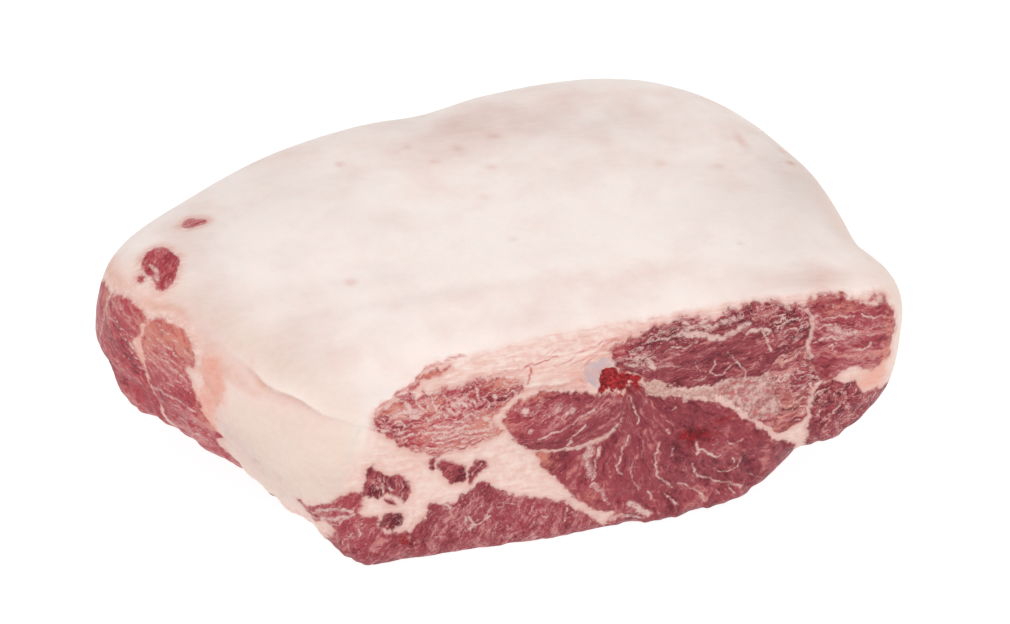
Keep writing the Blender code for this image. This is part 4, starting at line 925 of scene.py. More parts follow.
def wander(points):
    """The points moved a little to and fro, so that nothing drawn with them runs quite true."""
    moved = points.copy()
    for size, reach, turn in WANDER:
        phase = 2 * np.pi / size
        moved[:, 0] += reach * np.sin(phase * (points[:, 1] + WANDER_SLANTS[0] * points[:, 0]) + turn)
        moved[:, 1] += reach * np.sin(phase * (points[:, 0] + WANDER_SLANTS[1] * points[:, 1])
                                      + WANDER_SHIFT * turn)
    return moved


def outline_depth(points, outline):
    """How deep each point lies inside an outline; negative outside, and no less than -EDGE_REACH."""
    shape = smooth_outline(outline)
    depth = np.full(len(points), -EDGE_REACH)
    low, high = shape.min(axis=0) - EDGE_REACH, shape.max(axis=0) + EDGE_REACH
    near = np.flatnonzero(((points > low) & (points < high)).all(axis=1))
    if not len(near):
        return depth
    close = points[near]
    distance = distance_to_line(close, np.vstack([shape, shape[:1]]))
    inside = np.zeros(len(near), bool)
    for (x0, z0), (x1, z1) in zip(shape, np.roll(shape, -1, axis=0)):
        if z0 == z1:
            continue
        crosses = (close[:, 1] >= z0) != (close[:, 1] >= z1)
        inside ^= crosses & (close[:, 0] < x0 + (close[:, 1] - z0) * (x1 - x0) / (z1 - z0))
    depth[near] = np.maximum(np.where(inside, distance, -distance), -EDGE_REACH)
    return depth


def seam_strength(points, seams):
    """How much of a seam there is at each point, 0 to 1."""
    strength = np.zeros(len(points))
    for seam in seams:
        line = smooth_line(seam.points)
        reach = 3 * seam.width
        near = np.flatnonzero(((points > line.min(axis=0) - reach)
                               & (points < line.max(axis=0) + reach)).all(axis=1))
        away = distance_to_line(points[near], line)
        strength[near] = np.maximum(strength[near],
                                    seam.strength * np.exp(-(away / seam.width) ** 2))
    return strength


def area_sum(points, areas):
    total = np.zeros(len(points))
    for area in areas:
        offset = (points - np.array(area.place)) / np.array(area.reach)
        total += area.amount * np.exp(-0.5 * (offset ** 2).sum(axis=1))
    return total


def ease(low, high, value):
    """0 below low, 1 above high, and a smooth step between."""
    t = np.clip((value - low) / (high - low), 0.0, 1.0)
    return t * t * (3 - 2 * t)


# ---- values of a surface point ------------------------------------------------------------------
MAP_VALUES = ("lean", "pale", "marbling", "tone", "salmon", "relief")


def map_values(flat, depth_axis, muscles, seams, tone_areas, salmon_areas, marbling_areas):
    """Values from one map, at points given in its own two directions and the one across it."""
    best = np.full(len(flat), -EDGE_REACH)
    got = {name: np.zeros(len(flat)) for name in ("marbling", "tone", "salmon", "relief")}
    grain = np.zeros((len(flat), 3))
    for muscle in muscles.values():
        depth = outline_depth(flat, muscle.outline)
        wins = depth > best
        best = np.maximum(best, depth)
        if isinstance(muscle.grain, tuple):
            offset = flat - np.array(muscle.grain)
            along = np.linalg.norm(offset, axis=1)
            across = np.arctan2(offset[:, 1], offset[:, 0]) * FAN_RADIUS
        else:
            turn = np.radians(muscle.grain)
            along = flat @ np.array([np.cos(turn), np.sin(turn)])
            across = flat @ np.array([-np.sin(turn), np.cos(turn)])
        grain[wins] = np.stack([along / muscle.stretch, across, depth_axis], axis=1)[wins]
        got["marbling"][wins] = muscle.marbling
        got["tone"][wins] = muscle.tone
        got["salmon"][wins] = muscle.salmon
        got["relief"][wins] = (muscle.bulge * (1 - np.exp(-np.maximum(depth, 0) / BULGE_REACH)))[wins]
    pale = seam_strength(flat, seams)
    got["tone"] += area_sum(flat, tone_areas)
    got["salmon"] += area_sum(flat, salmon_areas)
    got["marbling"] += area_sum(flat, marbling_areas)
    got["relief"] -= SEAM_SINK * pale
    got["lean"], got["pale"], got["grain"] = best, pale, grain
    return got


def surface_values(points):
    """Every value that the materials and the relief read, at points on the joint's surface."""
    rays, lengths = rays_to(points)
    over_rim = RIM_GAIN * np.maximum(points[:, 1] - RIM_DEPTH, 0.0) * ease(*RIM_HEIGHTS, points[:, 2])
    face = wander(np.stack([points[:, 0], points[:, 2] + over_rim], axis=1))
    end = wander(np.stack([points[:, :2] @ END_RUN, points[:, 2]], axis=1))
    meat = np.linalg.norm(form_surface(rays, meat_sides(), MEAT_SWELLS, {}) - MIDDLE, axis=1)
    form_lean = np.clip(meat - lengths, -EDGE_REACH, EDGE_REACH)

    on_face = ease(*FACE_FRONT, -points[:, 1]) * ease(*FACE_LEFT, points[:, 0])
    on_end = ease(*END_LEFT, -points[:, 0]) * (1 - on_face)
    on_cap = (points[:, 2] > CAP_FLOOR) & (on_face < 0.5)

    values = {name: np.zeros(len(points)) for name in (*MAP_VALUES, "pink")}
    values["lean"] = form_lean
    values["marbling"][:] = PLAIN_MARBLING
    values["hidden"] = 1 - np.maximum(on_face, on_end)
    grain = points * PLAIN_STRETCH

    for share, flat, across, coarse, maps in (
            (on_face, face, points[:, 1], 1.0,
             (FACE_MUSCLES, FACE_SEAMS, TONE_AREAS, SALMON_AREAS, MARBLING_AREAS)),
            (on_end, end, points[:, 0], END_FIBRES,
             (END_MUSCLES, END_SEAMS, END_TONE_AREAS, END_SALMON_AREAS, ()))):
        picked = np.flatnonzero(share > 0)
        got = map_values(flat[picked], across[picked], *maps)
        weight = share[picked]
        for name in MAP_VALUES:
            values[name][picked] += weight * (got[name] - values[name][picked])
        solid = weight > 0.5
        grain[picked[solid]] = got["grain"][solid] * coarse

    picked = np.flatnonzero(on_cap)
    got = map_values(points[picked][:, :2], points[picked, 2], CAP_PATCHES, CAP_SEAMS, (), (), ())
    patch = got["lean"] > values["lean"][picked]
    for name in MAP_VALUES:
        values[name][picked[patch]] = got[name][patch]
    grain[picked[patch]] = got["grain"][patch]

    values["blood"] = on_face * area_sum(face, BLOOD_AREAS)
    values["vivid"] = np.clip(on_face * area_sum(face, VIVID_AREAS) + END_VIVID * on_end, 0, 1)
    for name, look in BONE_LOOKS.items():
        values[name] = np.where(on_face > 0.5, outline_depth(face, look.outline), -EDGE_REACH)
        values["relief"] += look.relief * ease(*BONE_RISE, values[name])

    for wash in PINK_WASHES:
        away = distance_to_line(points, np.array(wash.points, float))
        values["pink"] += wash.amount * np.exp(-0.5 * (away / wash.reach) ** 2)
    values["pink"] += ease(*PINK_CLOUD_HEIGHTS, points[:, 2]) * area_sum(points[:, :2], PINK_AND_SHADE_CLOUDS)
    # painted shade on the fat: how much its colour is darkened where the light falls off
    values["shade"] = area_sum(points, PAINTED_SHADE_AREAS)
    values["relief"] += ragged_edge(points) + area_sum(points, DENTS)
    values["flush"] = on_face * area_sum(face, FLUSH_AREAS) + on_end * area_sum(end, END_FLUSH_AREAS)
    values["band"] = np.maximum(band_share(face, on_face),
                                END_BAND * on_end * ease(*END_BAND_FADE, values["lean"]))
    values["streaks"] = values["band"] * (STREAKS_LEAST
                                          + (1 - STREAKS_LEAST) * ease(*STREAK_HEIGHTS, face[:, 1]))
    values["threads"] = on_face * seam_strength(face, RED_THREADS)
    roll, foot = fold_share(points)
    values["relief"] += FOLD_ROLL * roll - FOLD_STEP * foot
    # the roll's share: it raises the relief above, and the fat's colour paints a highlight on it
    values["roll"] = roll
    # the fold's foot painted pinker: partly the fat's own pink, partly painted shade in the crease
    values["pink"] += FOLD_FOOT_PINK_AND_SHADE * foot
    values["cream"] = cream_share(points, on_face)
    values["grain"] = grain
    return values


def ragged_edge(points):
    """Relief of the meat's lower edge, which the knife left uneven: in and out along the joint."""
    along = points @ EDGE_RUN
    uneven = sum(height * np.sin(2 * np.pi * along / size + EDGE_SLANT * points[:, 2] + turn)
                 for size, height, turn in EDGE_WAVES)
    low_edge = (ease(*EDGE_TOP_FADE, points[:, 2] - np.interp(points[:, 0], *EDGE_TOP))
                * ease(*EDGE_FOOT_FADE, points[:, 2])
                * ease(*EDGE_SIDES, -points[:, 1] - EDGE_SIDES_TURN * points[:, 0]))
    return (uneven - np.interp(points[:, 0], *EDGE_CUT)) * low_edge


def fold_share(points):
    """The roll of fat above the fold on the left facet, and the foot under it, 0 to 1."""
    line = np.array(FOLD_FOOT, float)
    offsets = points[:, None, :] - np.vstack([line, (line[:-1] + line[1:]) / 2])[None]
    nearest = np.argmin((offsets ** 2).sum(axis=2), axis=1)
    above = offsets[np.arange(len(points)), nearest, 2] > 0
    away = distance_to_line(points, line)
    reach = np.exp(-0.5 * (np.linalg.norm(points - FOLD_MIDDLE, axis=1) / FOLD_REACH) ** 2)
    roll = np.where(above, ease(0.0, FOLD_ROLL_RISE, away) * np.exp(-(away / FOLD_ROLL_REACH) ** 2), 0.0)
    foot = np.exp(-(away / np.where(above, *FOLD_FOOT_REACHES)) ** 2)
    return roll * reach, foot * reach


def band_share(face, on_face):
    """Where the fat is pink, fibrous and streaked: on the cut face, up to the cap's smooth fat."""
    past_left = face[:, 0] - np.interp(face[:, 1], *BAND_LEFT)
    past_top = face[:, 1] - np.interp(face[:, 0], *BAND_TOP)
    return (on_face * (1 - ease(*BAND_TOP_FADE, past_top))
            * ease(*BAND_LEFT_FADE, past_left) * ease(*BAND_RIGHT_FADE, face[:, 0]))


def cream_share(points, on_face):
    """Where the fat is creamy: on the facet left of the cut face, and over the right end."""
    facet = ease(*CREAM_FACET, (points - MIDDLE) @ side_normal(SIDES["left"]))
    right = ease(*CREAM_RIGHT, points[:, 0]) * ease(*CREAM_RIGHT_HEIGHTS, points[:, 2])
    return np.maximum(facet * (1 - on_face * ease(*CREAM_FACE_LEFT, points[:, 0])), CREAM_RIGHT_MOST * right)


# ---- meshes -------------------------------------------------------------------------------------
def new_object(name, mesh):
    obj = bpy.data.objects.new(name, mesh)
    bpy.context.scene.collection.objects.link(obj)
    return obj


def drop(*objects):
    for obj in objects:
        mesh = obj.data
        bpy.data.objects.remove(obj)
        bpy.data.meshes.remove(mesh)


def vertex_points(mesh):
    """The vertices' places in millimetres."""
    flat = np.empty(len(mesh.vertices) * 3, np.float32)
    mesh.vertices.foreach_get("co", flat)
    return flat.reshape(-1, 3).astype(float) / MM


def store(mesh, name, values):
    kind, key = ("FLOAT_VECTOR", "vector") if values.ndim == 2 else ("FLOAT", "value")
    attribute = mesh.attributes.get(name) or mesh.attributes.new(name, kind, "POINT")
    attribute.data.foreach_set(key, np.ascontiguousarray(values, np.float32).ravel())


def gridded_block(cells):
    """A closed block of BLANK's size, its faces cut into a grid."""
    bm = bmesh.new()
    bmesh.ops.create_cube(bm, size=1.0)
    bmesh.ops.scale(bm, vec=BLANK, verts=bm.verts)
    for axis, count in enumerate(cells):
        along = [edge for edge in bm.edges
                 if abs(edge.verts[0].co[axis] - edge.verts[1].co[axis]) > 1.0]
        bmesh.ops.subdivide_edges(bm, edges=along, cuts=count - 1, use_grid_fill=True)
    return bm


def divide_side(bm, axis, sign, cuts):
    """Divides the cells of one side of the block further, but not edges that are divided already."""
    half = BLANK[axis] / 2 - SIDE_GAP
    shortest = SKIN_CELL * DIVIDED
    edges = [edge for edge in bm.edges
             if all(vert.co[axis] * sign > half for vert in edge.verts) and edge.calc_length() > shortest]
    bmesh.ops.subdivide_edges(bm, edges=edges, cuts=cuts, use_grid_fill=True)


def form_mesh(name, bm, sides, swells, creases, floor=None):
    """The block's vertices drawn out along rays from the middle to a form's surface."""
    bmesh.ops.triangulate(bm, faces=bm.faces)
    mesh = bpy.data.meshes.new(name)
    bm.to_mesh(mesh)
    bm.free()
    rays = vertex_points(mesh) * MM
    rays /= np.linalg.norm(rays, axis=1)[:, None]
    points = form_surface(rays, sides, swells, creases)
    if floor is not None:
        points[:, 2] = np.maximum(points[:, 2], floor)
    mesh.vertices.foreach_set("co", (points * MM).astype(np.float32).ravel())
    mesh.update()
    return mesh


def prism_mesh(name, outline, depth):
    """A solid with an outline of the cut face, running back into the joint and narrowing."""
    front = MIDDLE[1] - SIDES["cut"].distance - FACE_CLEARANCE
    bm = bmesh.new()
    verts = [bm.verts.new((x * MM, front * MM, z * MM)) for x, z in smooth_outline(outline)]
    face = bm.faces.new(verts)
    extruded = bmesh.ops.extrude_face_region(bm, geom=[face])
    far = [item for item in extruded["geom"] if isinstance(item, bmesh.types.BMVert)]
    bmesh.ops.translate(bm, vec=(0, (depth + FACE_CLEARANCE) * MM, 0), verts=far)
    centre = sum((vert.co for vert in far), far[0].co * 0) / len(far)
    for vert in far:
        vert.co = centre + (vert.co - centre) * DEEP_END_SCALE
    bmesh.ops.recalc_face_normals(bm, faces=bm.faces)
    bmesh.ops.triangulate(bm, faces=bm.faces)
    mesh = bpy.data.meshes.new(name)
    bm.to_mesh(mesh)
    bm.free()
    return mesh


def boolean(obj, operation, tool):
    modifier = obj.modifiers.new(tool.name, 'BOOLEAN')
    modifier.operation = operation
    modifier.solver = 'MANIFOLD'
    modifier.object = tool


def applied(obj):
    """The object with its modifiers made part of its mesh."""
    depsgraph = bpy.context.evaluated_depsgraph_get()
    mesh = bpy.data.meshes.new_from_object(obj.evaluated_get(depsgraph), depsgraph=depsgraph)
    old = obj.data
    obj.modifiers.clear()
    obj.data = mesh
    bpy.data.meshes.remove(old)
    return obj


# ---- node trees ---------------------------------------------------------------------------------
class Wiring:
    """Adds nodes to a tree and joins them up, one call for each node."""

    def __init__(self, tree):
        self.tree = tree

    def node(self, kind, inputs=(), **settings):
        node = self.tree.nodes.new(kind)
        for name, value in settings.items():
            setattr(node, name, value)
        for key, value in dict(inputs).items():
            self.feed(node.inputs[key], value)
        return node

    def feed(self, socket, value):
        if isinstance(value, bpy.types.NodeSocket):
            self.tree.links.new(value, socket)
        elif value is not None:
            socket.default_value = value

    def math(self, operation, a, b=None):
        return self.node("ShaderNodeMath", {0: a, 1: b}, operation=operation).outputs[0]

    def times(self, a, b):
        return self.math('MULTIPLY', a, b)

    def plus(self, a, b):
        return self.math('ADD', a, b)

    def most_of(self, first, *others):
        for other in others:
            first = self.math('MAXIMUM', first, other)
        return first

    def vector(self, operation, a, b):
        node = self.node("ShaderNodeVectorMath", {0: a, ("Scale" if operation == 'SCALE' else 1): b},
                         operation=operation)
        return node.outputs["Value" if operation == 'DOT_PRODUCT' else "Vector"]

    def step(self, value, low, high, most=1.0):
        """0 at low, most at high, and a smooth step between."""
        node = self.node("ShaderNodeMapRange", {"Value": value, "From Min": low, "From Max": high,
                                                "To Max": most}, interpolation_type='SMOOTHSTEP')
        return node.outputs["Result"]

    def mix(self, factor, a, b):
        """Colour a where the factor is 0 and b where it is 1, each a socket or three numbers."""
        node = self.node("ShaderNodeMix", data_type='RGBA')
        self.feed(node.inputs["Factor"], factor)
        for socket, given in ((node.inputs[6], a), (node.inputs[7], b)):
            self.feed(socket, given if isinstance(given, bpy.types.NodeSocket) else (*given, 1.0))
        return node.outputs[2]


class SurfaceWiring(Wiring):
    """Wiring of the joint's surface, whose patterns and vertex values go by their names."""

    def __init__(self, tree):
        super().__init__(tree)
        self.known = {}

    def named(self, name):
        """What is known by a name, or else the vertices' value of that name."""
        if name not in self.known:
            self.known[name] = self.node("ShaderNodeAttribute", attribute_name=name).outputs["Fac"]
        return self.known[name]

    def blend(self, shares):
        """The sum of named patterns and values, each times its share."""
        total = None
        for name, share in shares.items():
            part = self.named(name) if share == 1.0 else self.times(self.named(name), share)
            total = part if total is None else self.plus(total, part)
        return total

    def mask(self, name):
        mask = MASKS[name]
        cover = self.step(self.blend(mask.shares), mask.low, mask.high, mask.most)
        return self.times(cover, self.named(mask.within)) if mask.within else cover

    def lay(self, under, *layers):
        """Colours laid over what is under them, each through its mask."""
        for name, colour in layers:
            under = self.mix(self.mask(name), under, colour)
        return under


def relief_tree():
    """Pushes a surface out along its normals: by its stored relief, and by lumps, sags and grain."""
    tree = bpy.data.node_groups.new("Joint Relief", "GeometryNodeTree")
    tree.interface.new_socket("Geometry", in_out='INPUT', socket_type='NodeSocketGeometry')
    for name, default in RELIEF_INPUTS.items():
        socket = tree.interface.new_socket(name, in_out='INPUT', socket_type='NodeSocketFloat')
        socket.default_value = default
    tree.interface.new_socket("Finish", in_out='INPUT', socket_type='NodeSocketMaterial')
    tree.interface.new_socket("Geometry", in_out='OUTPUT', socket_type='NodeSocketGeometry')
    wire = Wiring(tree)
    given = wire.node("NodeGroupInput").outputs
    place = wire.node("GeometryNodeInputPosition").outputs[0]
    grain = wire.vector('SCALE', stored(wire, "grain", 'FLOAT_VECTOR'), MM)
    vectors = {"Lump": place, "Sag": place, "Grain": grain}
    lumps, sags, fibres = (swell_noise(wire, given, kind, vector) for kind, vector in vectors.items())
    rough = wire.times(wire.plus(sags, fibres), by_lean(wire, wire.step(stored(wire, "lean"), *BARE_EDGE)))
    out = wire.plus(wire.plus(lumps, rough), wire.times(stored(wire, "relief"), MM))
    normal = wire.node("GeometryNodeInputNormal").outputs[0]
    moved = wire.node("GeometryNodeSetPosition", {"Geometry": given["Geometry"],
                                                  "Offset": wire.vector('SCALE', normal, out)})
    return closed_tree(tree, wire, moved.outputs[0], given["Finish"])


def swell_noise(wire, given, kind, vector):
    """Ups and downs of one kind, as high and as broad as the tree's inputs say."""
    node = wire.node("ShaderNodeTexNoise", {
        "Vector": vector, "W": wire.plus(given["Seed"], SEED_SHIFTS[kind]),
        "Scale": wire.math('DIVIDE', 1.0, given[kind + " Size"])}, noise_dimensions='4D')
    return wire.times(wire.times(wire.math('SUBTRACT', node.outputs[0], 0.5), 2.0), given[kind + " Height"])


def by_lean(wire, lean):
    """1 on the lean, and on the fat as much as FAT_GRAIN."""
    return wire.plus(wire.times(lean, 1 - FAT_GRAIN), FAT_GRAIN)


def stored(wire, name, kind='FLOAT'):
    node = wire.node("GeometryNodeInputNamedAttribute", {"Name": name}, data_type=kind)
    return node.outputs["Attribute"]


def closed_tree(tree, wire, geometry, finish):
    """Ends a tree: instances made real, and the finish set."""
    real = wire.node("GeometryNodeRealizeInstances", {"Geometry": geometry})
    finished = wire.node("GeometryNodeSetMaterial", {"Geometry": real.outputs[0], "Material": finish})
    out = wire.node("NodeGroupOutput")
    tree.links.new(finished.outputs[0], out.inputs["Geometry"])
    return tree


def run_tree(obj, tree, given):
    """Runs a tree on an object, its inputs set by name, and keeps the result as a plain mesh."""
    modifier = obj.modifiers.new(tree.name, 'NODES')
    modifier.node_group = tree
    for item in tree.interface.items_tree:
        if item.item_type == 'SOCKET' and item.in_out == 'INPUT' and item.name in given:
            modifier[item.identifier] = given[item.name]
    return applied(obj)


# ---- finishes -----------------------------------------------------------------------------------
def surface_group(props):
    """Colour, roughness and height of any point of the joint, from the values on its vertices."""
    tree = bpy.data.node_groups.new("Joint Surface", "ShaderNodeTree")
    for name, kind in (("Color", 'NodeSocketColor'), ("Roughness", 'NodeSocketFloat'),
                       ("Height", 'NodeSocketFloat')):
        tree.interface.new_socket(name, in_out='OUTPUT', socket_type=kind)
    wire = SurfaceWiring(tree)
    known = wire.known
    place = add_patterns(wire)
    known["inside"] = wire.mask("inside")
    white = fat_in_lean(wire, place)
    known["bare_lean"] = wire.times(known["inside"], wire.math('SUBTRACT', 1.0, white))
    seam_fat = wire.mix(wire.mask("seam_pale"), FAT_COLOURS["seam"], FAT_COLOURS["seam_pale"])
    meat = wire.mix(white, lean_colour(wire, props), seam_fat)
    colour = bone_over(wire, wire.mix(known["inside"], fat_colour(wire, props), meat))
    known["fibres"] = wire.times(wire.blend(FIBRE_HEIGHTS), by_lean(wire, known["inside"]))
    out = wire.node("NodeGroupOutput")
    tree.links.new(colour, out.inputs["Color"])
    tree.links.new(wire.plus(wire.blend(ROUGHNESS_SHARES), ROUGHNESS), out.inputs["Roughness"])
    tree.links.new(wire.blend(HEIGHTS), out.inputs["Height"])
    return tree


def add_patterns(wire):
    """Makes the noises known, and returns the place of a point in millimetres."""
    place = wire.vector('SCALE', wire.node("ShaderNodeTexCoord").outputs["Object"], 1.0 / MM)
    grain = wire.node("ShaderNodeAttribute", attribute_name="grain").outputs["Vector"]
    warp = wire.node("ShaderNodeTexNoise", {"Vector": place, "Scale": WARP_SCALE}).outputs[1]
    warp = wire.vector('SCALE', wire.vector('SUBTRACT', warp, (0.5, 0.5, 0.5)), WARP_REACH)
    spaces = {"place": place, "curly": wire.vector('ADD', grain, warp),
              "grain": wire.vector('ADD', grain, wire.vector('SCALE', warp, GRAIN_WARP))}
    for name, (turn, scale) in STRETCHED_SPACES.items():
        spaces[name] = wire.node("ShaderNodeMapping", {"Vector": place, "Rotation": turn,
                                                       "Scale": scale}).outputs[0]
    for name, noise in NOISES.items():
        node = wire.node("ShaderNodeTexNoise", {
            "Vector": spaces[noise.space], "Scale": noise.scale, "Detail": noise.detail,
            "Roughness": noise.roughness, "Distortion": noise.distortion})
        wire.known[name] = wire.math('SUBTRACT', node.outputs[0], 0.5)
    return place


def fat_in_lean(wire, place):
    """How much of the lean is fat: seams, veins, hairs, flecks and specks."""
    drift = wire.node("ShaderNodeTexNoise", {"Vector": place, "Scale": CELL_DRIFT_SCALE}).outputs[1]
    drifted = wire.vector('ADD', place, wire.vector('SCALE', drift, CELL_DRIFT))
    cells = wire.node("ShaderNodeTexVoronoi", {"Vector": drifted, "Scale": 1 / CELL_SIZE},
                      feature='DISTANCE_TO_EDGE')
    wire.known["cell_edge"] = cells.outputs["Distance"]
    wire.known["wispy_seam"] = wire.times(wire.named("pale"), wire.plus(wire.blend(WISP_SHARES), 1.0))
    white = [wire.mask(name) for name in ("seam", "hidden_seam", "fleck", "speck")]
    thick = wire.times(wire.math('POWER', wire.named("marbling"), 2.0), VEIN_WIDTH)
    for name, (least, core) in VEINS.items():
        line = wire.step(wire.math('ABSOLUTE', wire.known[name]), wire.plus(thick, least),
                         wire.times(thick, core))
        white.append(wire.times(line, wire.mask(name)))
    return wire.times(wire.most_of(*white), MARBLING_COVER)


def lean_colour(wire, props):
    """Red of the lean: lighter and darker with its grain, salmon in places and bloody in others."""
    by_marbling = wire.plus(wire.times(wire.named("marbling"), GRAIN_BY_MARBLING), GRAIN_LEAST)
    wire.known["grainy"] = wire.times(wire.blend(GRAIN_SHARES), by_marbling)
    middle = wire.mix(wire.named("vivid"), props.lean_colour, LEAN_COLOURS["vivid"])
    bloody = wire.lay(LEAN_COLOURS["clot"], ("fresh", LEAN_COLOURS["blood"]))
    return wire.lay(LEAN_COLOURS["dark"], ("middle", middle), ("light", LEAN_COLOURS["light"]),
                    ("salmon", LEAN_COLOURS["salmon"]), ("blood", bloody))


def fat_colour(wire, props):
    """Off-white fat, pinker in clouds and along its washes, streaked where it is fibrous, with painted shade
    where the light falls off and a painted highlight on the roll above the fold.
    """
    wire.known["near_lean"] = wire.mask("near_lean")
    uneven = wire.plus(wire.blend(UNEVEN_SHARES), 1.0)
    for name in ("flush", "threads"):
        wire.known["uneven_" + name] = wire.times(wire.named(name), uneven)
    fat = wire.mix(wire.named("cream"), props.fat_colour, FAT_COLOURS["cream"])
    fat = wire.lay(fat, ("veil", FAT_COLOURS["veil"]), ("pink", props.fat_pink),
                   ("rosy", FAT_COLOURS["rosy"]))
    # Painted shade: the fat darkened by the shade areas, which stand in for the light's fall-off, with a
    # little random mottling.
    fat = wire.mix(wire.most_of(wire.blend(PAINTED_SHADE_AND_MOTTLE_SHARES), 0.0), fat, FAT_COLOURS["painted_shade_and_mottle"])
    # Painted highlight: the roll of fat above the fold is painted brighter.
    fat = wire.mix(wire.times(wire.named("roll"), ROLL_PAINTED_HIGHLIGHT), fat, FAT_COLOURS["pale_and_highlight"])
    face = wire.lay(FAT_COLOURS["face"], ("face_pale", FAT_COLOURS["face_pale"]))
    face = wire.mix(wire.times(wire.known["near_lean"], FACE_STAIN), face, FAT_COLOURS["stained"])
    fat = wire.mix(wire.named("band"), fat, face)
    return wire.lay(fat, ("stained", FAT_COLOURS["stained"]), ("flush", FAT_COLOURS["flush"]),
                    ("streak", FAT_COLOURS["streak"]), ("pale_line", FAT_COLOURS["pale_and_highlight"]),
                    ("thread", FAT_COLOURS["thread"]), ("pores", FAT_COLOURS["pale_and_highlight"]),
                    ("fleshy", FAT_COLOURS["face"]))


def bone_over(wire, under):
    """Dense and spongy bone, cartilage and marrow, laid over what is under them."""
    covers = {}
    for name, look in BONE_LOOKS.items():
        covers[name] = wire.step(wire.blend({name: 1.0, **BONE_WOBBLE}), *look.edge)
        shade = wire.mix(wire.step(wire.known[look.pattern], -look.spread, look.spread), *look.colours)
        under = wire.mix(covers[name], under, wire.lay(shade, *look.spots))
    pitted = wire.most_of(covers["spongy"], covers["marrow"])
    wire.known["bone_pits"] = wire.times(pitted, wire.known["pits"])
    return under


def finish_material(finish, group):
    """A finish of one piece: the joint's surface, with its own bump and depth of glow."""
    material = bpy.data.materials.new(finish.material)
    material.use_nodes = True
    tree = material.node_tree
    wire = Wiring(tree)
    shader = tree.nodes["Principled BSDF"]
    look = wire.node("ShaderNodeGroup", node_tree=group)
    relief = wire.node("ShaderNodeBump", {"Strength": finish.bump, "Distance": BUMP_DEPTH,
                                          "Height": look.outputs["Height"]})
    for name, value in {"Base Color": look.outputs["Color"], "Roughness": look.outputs["Roughness"],
                        "Normal": relief.outputs[0], "Specular IOR Level": SHINE,
                        "Subsurface Weight": finish.glow, "Subsurface Radius": GLOW_RADIUS,
                        "Subsurface Scale": GLOW_SCALE}.items():
        wire.feed(shader.inputs[name], value)
    return material


# ---- properties ---------------------------------------------------------------------------------
class ButtFinishSettings(bpy.types.PropertyGroup):
    lump_height: bpy.props.FloatProperty(
        name="Lump Height", description="How far the fat's broad lumps stand out",
        default=0.0006, min=0.0, max=0.005, precision=5, unit='LENGTH', subtype='DISTANCE')
    lump_size: bpy.props.FloatProperty(
        name="Lump Size", description="Distance between the fat's broad lumps",
        default=0.045, min=0.005, max=0.2, unit='LENGTH', subtype='DISTANCE')
    sag_height: bpy.props.FloatProperty(
        name="Sag Height", description="Unevenness of the bare meat",
        default=0.0008, min=0.0, max=0.005, precision=5, unit='LENGTH', subtype='DISTANCE')
    grain_height: bpy.props.FloatProperty(
        name="Grain Height", description="How far the meat's fibres stand out",
        default=0.00022, min=0.0, max=0.002, precision=5, unit='LENGTH', subtype='DISTANCE')
    fat_colour: bpy.props.FloatVectorProperty(
        name="Fat", description="Colour of the fat where it is palest",
        default=(0.905, 0.805, 0.760), size=3, min=0.0, max=1.0, subtype='COLOR')
    fat_pink: bpy.props.FloatVectorProperty(
        name="Pink Fat", description="Colour of the fat where it is pinkest",
        default=(0.800, 0.605, 0.550), size=3, min=0.0, max=1.0, subtype='COLOR')
    lean_colour: bpy.props.FloatVectorProperty(
        name="Lean", description="Middle colour of the lean",
        default=LEAN_COLOURS["middle"], size=3, min=0.0, max=1.0, subtype='COLOR')


class ButtStageSettings(bpy.types.PropertyGroup):
    camera_bearing: bpy.props.FloatProperty(
        name="Camera Bearing", description="Turn of the camera round the joint, to the left if negative",
        default=np.radians(-14.0), subtype='ANGLE', unit='ROTATION')
    camera_height: bpy.props.FloatProperty(
        name="Camera Elevation", description="How far above the horizon the camera stands",
        default=np.radians(38.0), subtype='ANGLE', unit='ROTATION')
    camera_distance: bpy.props.FloatProperty(
        name="Camera Distance", description="From the camera to the point that it looks at",
        default=1.092, min=0.1, unit='LENGTH', subtype='DISTANCE')
    lens: bpy.props.FloatProperty(
        name="Lens", description="Focal length in millimetres", default=100.0, min=20.0)
    aim: bpy.props.FloatVectorProperty(
        name="Aim", description="Point that the camera looks at",
        default=(0.010, -0.008, 0.043), size=3, subtype='TRANSLATION', unit='LENGTH')
    daylight: bpy.props.FloatProperty(
        name="Surround", description="Strength of the light from all round", default=0.68, min=0.0)
    key_light: bpy.props.FloatProperty(
        name="Key Light", description="Strength of the main soft light, in watts", default=1.5, min=0.0)
    fill_light: bpy.props.FloatProperty(
        name="Fill Light", description="Strength of the light in front, in watts", default=0.5, min=0.0)


# ---- operators ----------------------------------------------------------------------------------
def joint_skin(props):
    """The joint's whole surface as one closed mesh, with its relief."""
    cells = [round(size / SKIN_CELL) for size in BLANK]
    bm = gridded_block(cells)
    divide_side(bm, Y_AXIS, -1, FACE_CUTS)
    divide_side(bm, X_AXIS, -1, END_CUTS)
    divide_side(bm, Z_AXIS, 1, CAP_CUTS)
    skin = new_object("joint_skin", form_mesh("joint_skin", bm, SIDES, SWELLS, CREASES, floor=0.0))
    values = surface_values(vertex_points(skin.data))
    for name in RELIEF_VALUES:
        store(skin.data, name, values[name])
    given = {"Lump Height": props.lump_height, "Lump Size": props.lump_size,
             "Sag Height": props.sag_height, "Grain Height": props.grain_height}
    run_tree(skin, relief_tree(), given)
    points = vertex_points(skin.data)
    points[:, 2] = np.maximum(points[:, 2], 0.0)
    skin.data.vertices.foreach_set("co", (points * MM).astype(np.float32).ravel())
    for name in RELIEF_VALUES:
        skin.data.attributes.remove(skin.data.attributes[name])
    return skin


